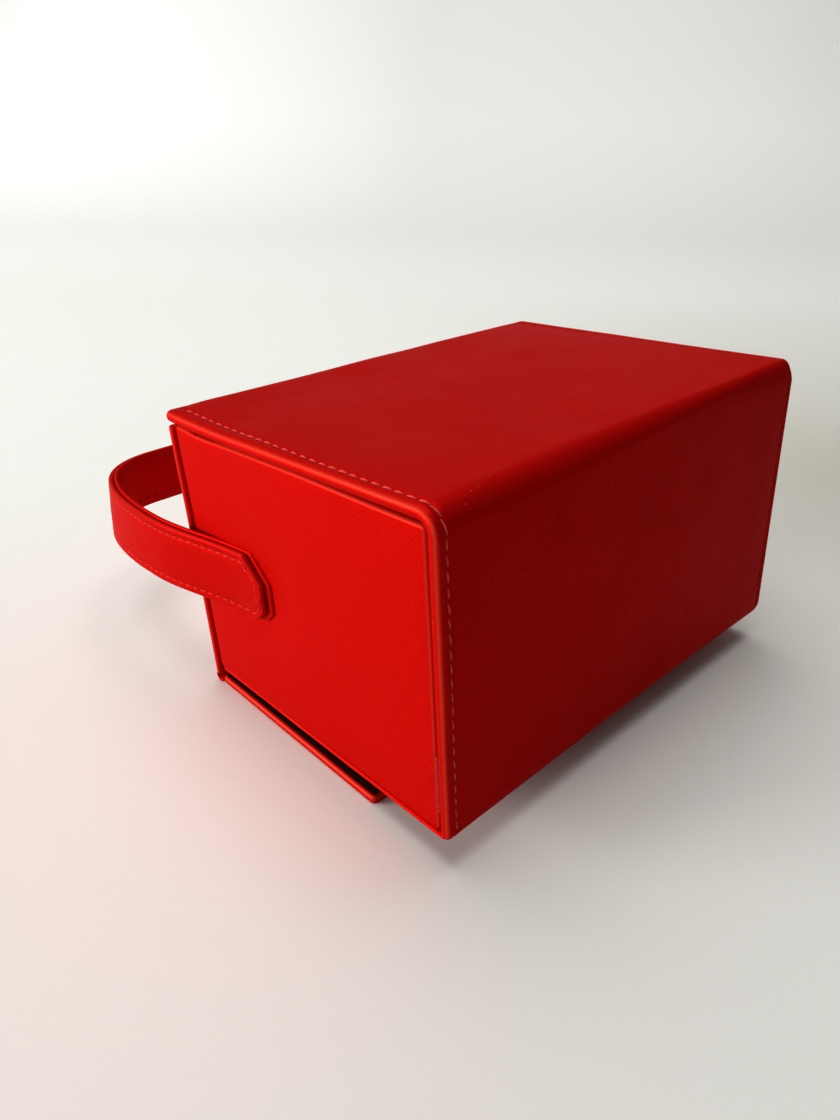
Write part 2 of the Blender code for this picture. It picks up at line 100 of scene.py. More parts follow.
axes = Matrix((RIGHT, RIGHT.cross(LOOK), -LOOK)).transposed().to_4x4()
camera_data = bpy.data.cameras.new("camera")
camera_data.sensor_width = SENSOR
camera_data.lens = SENSOR * FOCAL_PIXELS / IMAGE_HEIGHT
camera_data.clip_start = 0.01
camera = bpy.data.objects.new("camera", camera_data)
bpy.context.scene.collection.objects.link(camera)
camera.matrix_world = BAG @ Matrix.Translation(EYE) @ axes
bpy.context.scene.camera = camera
bpy.context.scene.view_settings.view_transform = "Standard"
print("lens", round(camera_data.lens, 2), "mm")

# %% [markdown]
# Shader trees are short here and much alike, so a few helpers keep them readable: one adds
# a node and sets its values, one links two sockets, and one mixes two colours by a factor.

# %% Helpers for materials
def srgb(red, green, blue):
    """The linear colour of an 8-bit screen colour."""
    parts = []
    for value in (red, green, blue):
        share = value / 255
        parts.append(share / 12.92 if share <= 0.04045 else ((share + 0.055) / 1.055) ** 2.4)
    return (*parts, 1.0)


def new_material(name):
    made = bpy.data.materials.new(name)
    made.use_nodes = True
    return made, made.node_tree, made.node_tree.nodes["Principled BSDF"]


def add_node(tree, kind, values=None, **settings):
    node = tree.nodes.new(kind)
    for name, value in settings.items():
        setattr(node, name, value)
    for name, value in (values or {}).items():
        node.inputs[name].default_value = value
    return node


def math_node(tree, operation, first, second):
    """Joins two numbers or sockets with a Math node and returns its output."""
    node = tree.nodes.new("ShaderNodeMath")
    node.operation = operation
    for number, value in enumerate((first, second)):
        if hasattr(value, "links"):
            tree.links.new(value, node.inputs[number])
        else:
            node.inputs[number].default_value = value
    return node.outputs[0]


def mix_colour(tree, factor, first, second):
    """Mixes two colours or colour sockets by a factor socket."""
    node = tree.nodes.new("ShaderNodeMix")
    node.data_type = "RGBA"
    for socket, value in ((node.inputs[0], factor), (node.inputs[6], first), (node.inputs[7], second)):
        if hasattr(value, "links"):
            tree.links.new(value, socket)
        else:
            socket.default_value = value
    return node.outputs[2]


def ramp(tree, factor, low, high, first=0.0, second=1.0):
    """A number that goes from first to second as the factor goes from low to high."""
    node = add_node(tree, "ShaderNodeMapRange")
    node.inputs["From Min"].default_value = low
    node.inputs["From Max"].default_value = high
    node.inputs["To Min"].default_value = first
    node.inputs["To Max"].default_value = second
    tree.links.new(factor, node.inputs["Value"])
    return node.outputs["Result"]


print("a screen grey of 128 is", round(srgb(128, 128, 128)[0], 3), "in linear light")

# %% [markdown]
# Satin over card shows three things: a fine twill of threads that run aslant, a low-gloss
# sheen in the colour of the dye, and a faint cloudiness where the glue and the card show
# through. The threads follow the cloth round every rim, so the pattern reads the cloth's
# own UV map, in centimetres, while the cloudiness and the fine grain belong to the piece and
# read its Object coordinates. A white plastic gloss would turn the red pink. Here a share of
# metallic reflection gives a sheen in the dye's own colour, as light that comes back through
# dyed fibres has. A point attribute marks the crests of the rims. There a pale colour is
# painted into the cloth as their highlight, and the roughness is a little lower.

# %% Satin
THREADS_PER_CM = 16.0
# The pale colour painted on the crests of the rims as their highlight: a painted highlight.
PAINTED_CREST_HIGHLIGHT = (0.98, 0.075, 0.040, 1.0)
DYE_STRENGTH = 1.06
DEEP_SHADE = 0.72
CLOTH_MAP = "cloth"
RIM_MARK = "rim"


def satin(name, colour, shade=1.0, roughness=0.42, gloss=0.30, lint=0.0, angle=45.0):
    made, tree, shader = new_material(name)
    link = tree.links.new
    cloth = add_node(tree, "ShaderNodeUVMap", uv_map=CLOTH_MAP)
    turn = add_node(tree, "ShaderNodeMapping")
    turn.inputs["Rotation"].default_value = (0.0, 0.0, math.radians(angle))
    link(cloth.outputs["UV"], turn.inputs["Vector"])

    twill = add_node(tree, "ShaderNodeTexWave", {"Scale": THREADS_PER_CM / math.tau * 1.6,
                     "Distortion": 0.9, "Detail": 1.0, "Detail Scale": 1.2})
    link(turn.outputs["Vector"], twill.inputs["Vector"])
    stretch = add_node(tree, "ShaderNodeMapping")
    stretch.inputs["Rotation"].default_value = (0.0, 0.0, math.radians(angle))
    stretch.inputs["Scale"].default_value = (30.0, 3.0, 1.0)
    link(cloth.outputs["UV"], stretch.inputs["Vector"])
    slub = add_node(tree, "ShaderNodeTexNoise", {"Scale": 1.0, "Detail": 3.0, "Roughness": 0.6})
    link(stretch.outputs["Vector"], slub.inputs["Vector"])
    place = add_node(tree, "ShaderNodeTexCoord")
    cloud = add_node(tree, "ShaderNodeTexNoise", {"Scale": 38.0, "Detail": 4.0, "Roughness": 0.55})
    link(place.outputs["Object"], cloud.inputs["Vector"])
    grain = add_node(tree, "ShaderNodeTexNoise", {"Scale": 1900.0, "Detail": 2.0, "Roughness": 0.6})
    link(place.outputs["Object"], grain.inputs["Vector"])

    base = tuple(part * shade * DYE_STRENGTH for part in colour[:3]) + (1.0,)
    deep = tuple(part * DEEP_SHADE for part in base[:3]) + (1.0,)
    thread = mix_colour(tree, ramp(tree, twill.outputs["Fac"], 0.0, 1.0, 0.55, 0.0), base, deep)
    streak = mix_colour(tree, ramp(tree, slub.outputs["Fac"], 0.35, 0.75, 0.0, 0.30), thread, deep)
    mottled = mix_colour(tree, ramp(tree, cloud.outputs["Fac"], 0.35, 0.70, 0.0, 0.22), streak, deep)
    mottled = mix_colour(tree, ramp(tree, grain.outputs["Fac"], 0.38, 0.62, 0.0, 0.45), mottled, deep)
    rim = add_node(tree, "ShaderNodeAttribute", attribute_name=RIM_MARK)
    # Paints the highlight onto the crests of the rims, as far as the rim mark reaches.
    highlighted = mix_colour(tree, math_node(tree, "MULTIPLY", rim.outputs["Fac"], 0.75), mottled, PAINTED_CREST_HIGHLIGHT)
    if lint:
        speck = add_node(tree, "ShaderNodeTexVoronoi", {"Scale": 480.0}, feature="F1")
        link(place.outputs["Object"], speck.inputs["Vector"])
        rare = add_node(tree, "ShaderNodeTexNoise", {"Scale": 90.0, "Detail": 1.0})
        link(place.outputs["Object"], rare.inputs["Vector"])
        dots = ramp(tree, speck.outputs["Distance"], 0.06, 0.12, 1.0, 0.0)
        chance = ramp(tree, rare.outputs["Fac"], 0.56, 0.64, 0.0, lint)
        highlighted = mix_colour(tree, math_node(tree, "MULTIPLY", dots, chance), highlighted, srgb(205, 110, 104))
    link(highlighted, shader.inputs["Base Color"])

    height = math_node(tree, "MULTIPLY", twill.outputs["Fac"], 0.55)
    height = math_node(tree, "ADD", height, math_node(tree, "MULTIPLY", slub.outputs["Fac"], 0.5))
    height = math_node(tree, "ADD", height, math_node(tree, "MULTIPLY", grain.outputs["Fac"], 0.6))
    bump = add_node(tree, "ShaderNodeBump", {"Strength": 0.55, "Distance": 0.00006})
    link(height, bump.inputs["Height"])
    link(bump.outputs["Normal"], shader.inputs["Normal"])
    rough = ramp(tree, cloud.outputs["Fac"], 0.3, 0.7, roughness - 0.04, roughness + 0.06)
    rough = math_node(tree, "SUBTRACT", rough, math_node(tree, "MULTIPLY", rim.outputs["Fac"], 0.08))
    link(rough, shader.inputs["Roughness"])
    shader.inputs["Metallic"].default_value = gloss
    shader.inputs["Specular IOR Level"].default_value = 0.02
    shader.inputs["Specular Tint"].default_value = (1.0, 0.03, 0.02, 1.0)
    return made


RED = srgb(207, 10, 4)
looks = {
    "cover": satin("cover_satin", RED, shade=0.96, lint=0.5, angle=45.0),
    "panel": satin("panel_satin", RED, angle=45.0),
    "lip": satin("lip_satin", RED, roughness=0.36, angle=20.0),
    "strap": satin("strap_satin", RED, shade=0.95, roughness=0.38, angle=90.0),
    "strap_back": satin("strap_back_satin", RED, angle=90.0),
    "fold": satin("fold_satin", RED, shade=0.72, roughness=0.5, angle=60.0),
    "lining": satin("lining_cloth", RED, shade=0.55, roughness=0.55, gloss=0.1, angle=45.0),
    # Near-black cloth for the flap's inner side: painted shade for the deep shadow in the gap under the front
    # panel.
    "facing": satin("flap_gap_shade", (0.040, 0.009, 0.008, 1.0), roughness=0.6, gloss=0.05, angle=30.0),
}
print("satins:", sorted(looks))

# %% [markdown]
# Thread, frayed fibre, brass and plated steel are the only other finishes. Thread is twisted,
# which a wave across the stitch shows. The cover's near seam, which the light falls on, has
# the palest thread. The seams in shade, the cover's far seam and the seam on the strap's
# inside, get a darker copy of the thread, darker than the cloth: painted shade. The rivets
# and the magnets' cases are turned or pressed metal, with fine marks and a little haze.

# %% Thread and metals
def thread_material(name, colour):
    made, tree, shader = new_material(name)
    link = tree.links.new
    place = add_node(tree, "ShaderNodeTexCoord")
    twist = add_node(tree, "ShaderNodeTexWave", {"Scale": 900.0, "Distortion": 1.0},
                     bands_direction="DIAGONAL")
    link(place.outputs["Object"], twist.inputs["Vector"])
    fuzz = add_node(tree, "ShaderNodeTexNoise", {"Scale": 700.0, "Detail": 2.0})
    link(place.outputs["Object"], fuzz.inputs["Vector"])
    dark = tuple(part * 0.5 for part in colour[:3]) + (1.0,)
    ply = mix_colour(tree, ramp(tree, twist.outputs["Fac"], 0.0, 0.5, 0.5, 0.0), colour, dark)
    tone = mix_colour(tree, ramp(tree, fuzz.outputs["Fac"], 0.35, 0.7, 0.0, 0.4), ply, dark)
    link(tone, shader.inputs["Base Color"])
    bump = add_node(tree, "ShaderNodeBump", {"Strength": 0.5, "Distance": 0.00008})
    link(twist.outputs["Fac"], bump.inputs["Height"])
    link(bump.outputs["Normal"], shader.inputs["Normal"])
    shader.inputs["Roughness"].default_value = 0.5
    shader.inputs["Specular IOR Level"].default_value = 0.03
    return made


def metal_material(name, colour, roughness):
    made, tree, shader = new_material(name)
    link = tree.links.new
    place = add_node(tree, "ShaderNodeTexCoord")
    haze = add_node(tree, "ShaderNodeTexNoise", {"Scale": 260.0, "Detail": 5.0, "Roughness": 0.6})
    link(place.outputs["Object"], haze.inputs["Vector"])
    marks = add_node(tree, "ShaderNodeTexNoise", {"Scale": 2400.0, "Detail": 2.0})
    link(place.outputs["Object"], marks.inputs["Vector"])
    dull = tuple(part * 0.72 for part in colour[:3]) + (1.0,)
    tone = mix_colour(tree, ramp(tree, haze.outputs["Fac"], 0.4, 0.7), colour, dull)
    link(tone, shader.inputs["Base Color"])
    rough = ramp(tree, haze.outputs["Fac"], 0.3, 0.7, roughness - 0.08, roughness + 0.12)
    link(rough, shader.inputs["Roughness"])
    bump = add_node(tree, "ShaderNodeBump", {"Strength": 0.25, "Distance": 0.00002})
    link(marks.outputs["Fac"], bump.inputs["Height"])
    link(bump.outputs["Normal"], shader.inputs["Normal"])
    shader.inputs["Metallic"].default_value = 1.0
    return made


looks["thread"] = thread_material("cover_thread", (1.0, 0.075, 0.058, 1.0))
looks["strap_thread"] = thread_material("strap_thread", (0.84, 0.028, 0.020, 1.0))
# A darker copy of the thread for the seams that lie in shade: painted shade.
looks["shaded_seam_thread"] = thread_material("shaded_seam_thread", (0.50, 0.012, 0.008, 1.0))
looks["fray"] = thread_material("fray_fibre", (0.52, 0.11, 0.10, 1.0))
looks["brass"] = metal_material("rivet_brass", (0.72, 0.52, 0.22, 1.0), 0.34)
looks["steel"] = metal_material("magnet_steel", (0.62, 0.61, 0.59, 1.0), 0.30)
print("finishes:", len(looks))

# %% [markdown]
# Every skin here is a grid of points: rows that follow one another along the piece or
# across it, joined into faces. Keeping the grid regular lets the same code lay the cloth's
# UV map in real centimetres, so that the weave has one scale everywhere, and lets a rim
# mark travel with the points.

# %% Helpers for skins
CM = 100.0


def smooth(share):
    share = min(max(share, 0.0), 1.0)
    return share * share * (3.0 - 2.0 * share)


def uneven(point, size, amount, seed):
    """A small, smooth, repeatable departure from a perfect surface."""
    return amount * noise.noise(point / size + Vector((seed, seed * 1.7, -seed)))


def skin(name, rows, look, body, place=BAG):
    """Joins rows of (point, u, v, rim) into one closed mesh and places it."""
    count = len(rows[0])
    points = [entry[0] for row in rows for entry in row]
    faces = []
    corners = []
    for r in range(len(rows) - 1):
        for c in range(count):
            after = (c + 1) % count
            faces.append((r * count + c, r * count + after, (r + 1) * count + after, (r + 1) * count + c))
            corners += [(r, c), (r, after), (r + 1, after), (r + 1, c)]
    for r in (0, len(rows) - 1):
        faces.append(tuple(r * count + c for c in range(count)))
        corners += [(r, c) for c in range(count)]
    mesh = bpy.data.meshes.new(name)
    mesh.from_pydata(points, [], faces)
    cloth = mesh.uv_layers.new(name=CLOTH_MAP)
    for loop, (r, c) in zip(cloth.data, corners):
        loop.uv = (rows[r][c][1] * CM, rows[r][c][2] * CM)
    mark = mesh.attributes.new(RIM_MARK, "FLOAT", "POINT")
    mark.data.foreach_set("value", [entry[3] for row in rows for entry in row])
    shape = bmesh.new()
    shape.from_mesh(mesh)
    bmesh.ops.remove_doubles(shape, verts=shape.verts, dist=1e-6)
    bmesh.ops.dissolve_degenerate(shape, edges=shape.edges, dist=1e-6)
    bmesh.ops.recalc_face_normals(shape, faces=shape.faces)
    shape.to_mesh(mesh)
    shape.free()
    mesh.transform(place)
    mesh.shade_smooth()
    mesh.materials.append(look)
    made = bpy.data.objects.new(name, mesh)
    bpy.context.scene.collection.objects.link(made)
    if body:
        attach(made, body)
    return made


print("smooth() at a quarter, a half and three quarters:", [smooth(share / 4) for share in (1, 2, 3)])

# %% [markdown]
# The cover is one board that makes the back and the base, folded softly between them. On
# the real bag its rims are fully rolled, and a line of stitching a few millimetres in pulls
# the padding down, so the rim stands up like piping. It could be a bevelled slab, but then
# the light would find no roll to run along. Here a closed outline of the board is drawn at
# many stations along the bag, thin at the very rim and full inside it. No hand-made cover is
# quite true: the near nose lifts, the far base edge leans out and the fold closes up towards
# the far end.

# %% Cover: back and base
RIM_OUT = 0.0005
NOSE_X = -0.0009
FOOT_Z = -0.0008
NOSE_CORNER_R = 0.0016
FOOT_CORNER_NEAR = 0.0008
FOOT_CORNER_FAR = 0.0046
STITCH_IN_NOSE = 0.0043
STITCH_IN_BASE = 0.0029
CHANNEL_DEPTH = 0.00030
CHANNEL_WIDTH = 0.0007
PAD_RISE = 0.00022
# How strongly a highlight is painted along the crest of the cover's rolled rim, and how far in and how wide
# it lies.
CREST_HIGHLIGHT = 0.75
CREST_IN = 0.00034
CREST_WIDTH = 0.00018
NOSE_SHIFT = Vector((-0.0007, -0.0002, 0.0011))
NOSE_RUN = 0.030
FAR_LEAN = 0.0014
FAR_LEAN_FROM = 0.060
FAR_LEAN_RUN = 0.085
FAR_DRAW = 0.0009
FAR_DRAW_FROM = 0.120
FAR_DRAW_RUN = 0.025
TIGHTENS_FROM = 0.030
TIGHTENS_RUN = 0.112


def corner_back(radius, inset):
    left = max(radius - inset, 0.0)
    return radius - math.sqrt(radius**2 - left**2)


def stations(length, roll):
    """Places along the bag, close together where the rim rolls and the stitches pull."""
    inward = [roll * (1.0 - math.cos(math.radians(angle))) for angle in range(0, 91, 15)]
    inward += [roll + 0.0004 * step for step in range(1, 13)]
    inward += [0.0075 + 0.0045 * step for step in range(15)]
    inward = [value for value in inward if value < length / 2 - 0.001]
    return inward + [length / 2] + [length - value for value in reversed(inward)]


def stitch_inset(run):
    """How far the seam lies inside the rim: it closes in from the nose to the fold."""
    return STITCH_IN_NOSE + (STITCH_IN_BASE - STITCH_IN_NOSE) * smooth(run / (DEPTH - FOLD_R))


def warped(point):
    """The cover isn't quite square: its near nose lifts, and its far base edge leans out."""
    near = max(1.0 - point.y / LENGTH, 0.0)
    nose = max(1.0 - max(point.x, 0.0) / NOSE_RUN, 0.0) ** 2 * near
    far = min(max((point.y - FAR_LEAN_FROM) / FAR_LEAN_RUN, 0.0), 1.0)
    low = smooth((HEIGHT - point.z) / FOLD_R) * smooth((point.x - 0.080) / 0.015)
    drawn_far = FAR_DRAW * smooth((point.y - FAR_DRAW_FROM) / FAR_DRAW_RUN)
    shift = NOSE_SHIFT * nose
    shift += Vector((FAR_LEAN * far**1.5, drawn_far, 0.0)) * low
    return point + shift


def cover_middle(y):
    """The board's middle line at y as (point, normal, run), from the nose to the foot."""
    inset = min(y, COVER_LENGTH - y)
    half = COVER_T / 2
    thin = math.sqrt(max(half**2 - max(half - inset, 0.0) ** 2, 0.0))
    foot_r = FOOT_CORNER_NEAR if y < LENGTH / 2 else FOOT_CORNER_FAR
    nose = NOSE_X + corner_back(NOSE_CORNER_R, inset) + thin
    foot = FOOT_Z + corner_back(foot_r, inset) + thin
    fold = FOLD_R - FOLD_TIGHTENS * smooth((y - TIGHTENS_FROM) / TIGHTENS_RUN)
    fold_x = DEPTH - fold
    fold_z = HEIGHT - fold
    bend = fold - half
    across = y - RIM_OUT
    line = []
    for step in range(48):
        x = nose + (fold_x - nose) * step / 48
        line.append((Vector((x, across, HEIGHT - half)), Vector((0, 0, 1)), x))
    for step in range(13):
        angle = math.radians(90 * step / 12)
        normal = Vector((math.sin(angle), 0, math.cos(angle)))
        line.append((Vector((fold_x, across, fold_z)) + normal * bend, normal, fold_x + bend * angle))
    turn = fold_x + bend * math.pi / 2
    for step in range(1, 41):
        z = fold_z + (foot - fold_z) * step / 40
        line.append((Vector((DEPTH - half, across, z)), Vector((1, 0, 0)), turn + fold_z - z))
    return line, thin


def cover_swell(point, inset, run):
    """How far the outer face stands off the flat: roll, stitch channel, pad and chance."""
    past = inset - stitch_inset(run)
    channel = -CHANNEL_DEPTH * math.exp(-((past / CHANNEL_WIDTH) ** 2))
    pad = PAD_RISE * smooth(past / 0.009)
    loose = uneven(point, 0.030, 0.00022, 3.0) + uneven(point, 0.007, 0.00005, 8.0)
    return (channel + pad + loose) * smooth(inset / 0.002)


def cover_row(y):
    line, thin = cover_middle(y)
    inset = min(y, COVER_LENGTH - y)
    # The crest of the rim gets the rim mark, which paints its highlight.
    crest_highlight = CREST_HIGHLIGHT * math.exp(-(((inset - CREST_IN) / CREST_WIDTH) ** 2))
    row = []
    for point, normal, run in line:
        swell = cover_swell(point, inset, run)
        row.append((warped(point + normal * (thin + swell)), run, y, crest_highlight))
    for tip, direction in ((line[-1], Vector((0, 0, -1))), (line[0], Vector((-1, 0, 0)))):
        point, normal, run = tip
        side = 1.0 if tip is line[-1] else -1.0
        for step in range(1, 8):
            angle = math.radians(22.5 * step)
            around = direction * math.sin(angle) + normal * math.cos(angle) * side
            row.append((warped(point + around * thin), run + side * thin * angle, y, crest_highlight))
        if tip is line[-1]:
            turn = run + thin * math.pi
            for point, normal, run in reversed(line):
                row.append((warped(point - normal * thin), turn + line[-1][2] - run, y, 0.0))
    return row


COVER_LENGTH = LENGTH + 2 * RIM_OUT
cover = skin("cover_skin", [cover_row(y) for y in stations(COVER_LENGTH, COVER_T / 2)], looks["cover"], "box")
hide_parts("back_and_base_cover")
print("cover:", len(cover.data.polygons), "faces")

# %% [markdown]
# The other boards are flat, so one function wraps them all. It draws rounded rectangles one
# inside the other: across the outer face, round the rolled rim, and back over the inner
# face. A bevelled cube would be quicker, but its faces would be dead flat, and a wrapped
# board is always a little proud in the middle and pulled in at the rim.

# %% A satin-wrapped board
# How strongly a highlight is painted along the rolled rim of each flat board.
RIM_HIGHLIGHT = 0.55


def rectangle_ring(width, height, radius, inset, per_side=22, per_corner=4):
    """A rounded rectangle about the origin, drawn inwards by inset."""
    w = width / 2 - inset
    h = height / 2 - inset
    r = max(radius - inset, min(w, h, 0.0003) * 0.5)
    r = min(r, w, h)
    ring = []
    quarter = math.radians(90)
    corners = (
        (w - r, -h + r, -quarter),
        (w - r, h - r, 0.0),
        (-w + r, h - r, quarter),
        (-w + r, -h + r, 2 * quarter),
    )
    for number, (x, y, start) in enumerate(corners):
        for step in range(per_corner + 1):
            angle = start + quarter * step / per_corner
            ring.append((x + r * math.cos(angle), y + r * math.sin(angle)))
        ahead = corners[(number + 1) % 4]
        first = ring[-1]
        last = (ahead[0] + r * math.cos(ahead[2]), ahead[1] + r * math.sin(ahead[2]))
        for step in range(1, per_side):
            share = step / per_side
            ring.append((first[0] + (last[0] - first[0]) * share, first[1] + (last[1] - first[1]) * share))
    return ring


def board_rows(width, height, thick, radius, roll_out, roll_in, crown=0.0, seed=1.0, wave=0.00012):
    """Rows of a board whose outer face looks along local +Z, centred on the origin."""
    deepest = min(width, height) / 2 - 0.0004
    steps = [share * deepest for share in (1.0, 0.8, 0.6, 0.45, 0.32, 0.22, 0.14, 0.08)]
    profile = [(inset, thick / 2) for inset in steps if inset > roll_out * 1.3]
    for angle in range(90, -1, -15):
        a = math.radians(angle)
        profile.append((roll_out * (1 - math.cos(a)), thick / 2 - roll_out * (1 - math.sin(a))))
    for angle in range(0, 91, 18):
        a = math.radians(angle)
        profile.append((roll_in * (1 - math.cos(a)), -thick / 2 + roll_in * (1 - math.sin(a))))
    profile += [(inset, -thick / 2) for inset in reversed(steps) if inset > roll_in * 1.3]
    rows = []
    for inset, z in profile:
        row = []
        proud = z > 0
        full = crown * smooth(inset / 0.020) if proud else 0.0
        # The rim mark for the painted highlight, along the outer face's rolled edge.
        rim = RIM_HIGHLIGHT * (1.0 - smooth(abs(inset - roll_out * 0.3) / 0.0005)) if proud else 0.0
        for x, y in rectangle_ring(width, height, radius, inset):
            point = Vector((x, y, z + full))
            if proud:
                point.z += uneven(point, 0.026, wave, seed) + uneven(point, 0.006, wave * 0.25, seed + 4)
                drift = uneven(Vector((x, y, 0)), 0.018, wave, seed + 9)
                point.x += drift * (1.0 if x > 0 else -1.0) * 0.5
                point.y += drift * (1.0 if y > 0 else -1.0) * 0.5
            row.append((point, x, y, rim))
        rows.append(row)
    return rows


print("points round a board:", len(rectangle_ring(DEPTH, HEIGHT, 0.001, 0.0)))

# %% [markdown]
# The end panels are padded boards that nearly fill the frame of the other boards. A groove
# stays open along the cover, widest near the fold, and a thin crease above the front panel,
# which slopes, so an end panel is deeper at the base. The near panel's upper lid-side corner
# is drawn outwards and up, and the strap's rivets pull a shallow dip into the middle.

# %% End panels
RIM_X = 0.0036
END_FACE_Y = 0.0006
END_T = 0.0034
END_TOP = 0.0791
END_RIGHT = 0.0965
FRONT_T = 0.0013
FRONT_RISE = 0.0030
FRONT_TILT = math.radians(2.9)
GAP = 0.0003
GROOVE_DIP = 0.0006
DRAW_OUT = Vector((-0.0009, -0.0008, 0.0))
LIFT_CORNER = 0.0012
LIFT_FROM = 0.060
LIFT_RUN = 0.018
TAB_SPOT = Vector((0.0330, 0.0, 0.0416))
TAB_DIP = 0.0006


def drawn(spot):
    """Near the lid-side edge of the near end, the boards stand out a little towards the top."""
    up = max(spot.z / 0.078, 0.0) ** 1.6
    near = 1.0 - smooth(spot.y / 0.030)
    lid_side = 1.0 - smooth((spot.x - RIM_X) / 0.022)
    return spot + DRAW_OUT * (up * near * lid_side)


def end_panel(name, far):
    bottom = FRONT_RISE + FRONT_T
    left = RIM_X - 0.0003
    width = END_RIGHT - left
    height = END_TOP - bottom
    side = -1.0 if far else 1.0
    y = LENGTH - END_FACE_Y - END_T / 2 if far else END_FACE_Y + END_T / 2
    rows = board_rows(width, height, END_T, 0.0012, 0.0008, 0.0004, crown=0.0002, seed=5.0 + side)
    centre = Vector(((left + END_RIGHT) / 2, y, (END_TOP + bottom) / 2))
    turned = []
    for row in rows:
        line = []
        for point, u, v, rim in row:
            spot = centre + Vector((point.x * side, -point.z * side, point.y))
            along = spot.x - left
            low = (END_TOP - spot.z) / height
            spot.z -= along * math.tan(FRONT_TILT) * low
            spot.z -= GROOVE_DIP * smooth((along - 0.045) / 0.045) * (1 - low) ** 2
            if point.z > 0:
                beside = max(abs(spot.x - TAB_SPOT.x) - 0.004, 0.0)
                above = max(abs(spot.z - TAB_SPOT.z) - 0.008, 0.0)
                spot.y += side * TAB_DIP * (1.0 - smooth((beside + above) / 0.014))
            if not far:
                spot = drawn(spot)
                high = smooth((spot.z - LIFT_FROM) / LIFT_RUN)
                spot.z += LIFT_CORNER * high * (1.0 - smooth((spot.x - RIM_X) / 0.012))
            line.append((spot, spot.x, spot.z, rim))
        turned.append(line)
    panel = skin(name + "_skin", turned, looks["panel"], "box")
    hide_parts(name)
    return panel


for name, far in (("end_panel_near", False), ("end_panel_far", True)):
    print(name, len(end_panel(name, far).data.polygons), "faces")

# %% [markdown]
# The front panel is a thin board: only its rolled rim shows under the end panel, and its
# outer face when the flap is open. A board is drawn lying flat with its outer face up, so
# this one is turned over and sloped. One helper lays a board in its place, says which solid
# it stands for and prints its faces, and the lid and the flap use it too.

# %% Front panel
def placed_board(name, node, rows, place, look, body):
    made = skin(name, rows, look, body, place)
    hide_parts(node)
    print(name, len(made.data.polygons), "faces")
    return made


front_length = (DEPTH - COVER_T + 0.0012 - RIM_X) / math.cos(FRONT_TILT)
front_width = LENGTH - 2 * 0.0004
front_rows = board_rows(front_length, front_width, FRONT_T, 0.0006, 0.0006, 0.0006, seed=21.0, wave=0.00018)
for row in front_rows:
    for point, *_ in row:
        point.y *= 1.0 + 0.012 * (point.x / front_length)
front_place = BAG @ Matrix.Translation((RIM_X, LENGTH / 2, FRONT_RISE)) @ Matrix.Rotation(FRONT_TILT, 4, "Y")
front_place = front_place @ Matrix.Translation((front_length / 2, 0, FRONT_T / 2))
front_place = front_place @ Matrix.Rotation(math.pi, 4, "X")
placed_board("front_panel_skin", "front_panel", front_rows, front_place, looks["lip"], "box")

# %% [markdown]
# The lid stands at the bag's mouth. It is the same kind of board stood on edge. Its upper
# edge follows the cover's nose up at the near end, and its near edge stands out with the end
# panel's corner, so the dark gap between lid and end panel keeps one width.

# %% Lid
LID_T = 0.0022
LID_EDGE = 0.0003
LIFT_LID = 0.0018


def lifted(spot):
    """The lid's upper edge follows the cover's nose up at the near end."""
    up = smooth((spot.z - LIFT_FROM) / LIFT_RUN)
    return spot + Vector((0.0, 0.0, LIFT_LID * up * max(1.0 - spot.y / LENGTH, 0.0)))


lid_top = LID_LINE.z - GAP
lid_bottom = FLAP_LINE.z + GAP
lid_width = LENGTH - 2 * LID_EDGE
lid_rows = board_rows(lid_top - lid_bottom, lid_width, LID_T, 0.0008, 0.0007, 0.0006, seed=31.0)
lid_frame = Matrix(((0, 0, -1, 0), (0, 1, 0, 0), (1, 0, 0, 0), (0, 0, 0, 1)))
lid_spot = Vector((LID_LINE.x + LID_T / 2, LENGTH / 2, (lid_top + lid_bottom) / 2))
lid_upright = Matrix.Translation(lid_spot) @ lid_frame
lid_rows = [[(lifted(drawn(lid_upright @ point)), u, v, rim) for point, u, v, rim in row] for row in lid_rows]
placed_board("lid_skin", "lid_panel", lid_rows, BAG, looks["panel"], "lid")

# %% [markdown]
# The closing flap carries on from the lid beyond a cloth fold, and the bag lies on it. It
# lies flat while the rest tips, so it takes its size and place from its solid and not from
# the square frame. Its inner side is painted near-black, set in from the edges, as painted
# shade for the deep shadow in the gap under the front panel: a second material on the faces
# that look up.

# %% Closing flap
FLAP_CORNER_R = 0.0015
GAP_SHADE_IN = 0.0014

flap_low, flap_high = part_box("closing_flap")
flap_size = flap_high - flap_low
flap_rows = board_rows(flap_size.x, flap_size.y, flap_size.z, FLAP_CORNER_R, 0.0010, 0.0010,
                       seed=41.0, wave=0.00010)
flap_spot = Matrix.Translation((flap_low + flap_high) / 2)
flap = placed_board("flap_skin", "closing_flap", flap_rows, flap_spot, looks["panel"], "flap")
# The near-black material goes on the flap's upward faces, set in from the edges: painted shade.
flap.data.materials.append(looks["facing"])
gap_shaded = 0
for polygon in flap.data.polygons:
    aside = abs(polygon.center.y) > flap_size.y / 2 - GAP_SHADE_IN
    ahead = polygon.center.x > flap_high.x - GAP_SHADE_IN
    if polygon.normal.z > 0.7 and not aside and not ahead:
        polygon.material_index = 1
        gap_shaded += 1
print("dark facing on", gap_shaded, "faces of the flap")

# %% [markdown]
# At each fold the boards are joined by a strip of cloth. Its ends are glued to the two
# boards and its middle bends. Each strip is drawn as one mesh in its place and is attached
# to neither body.

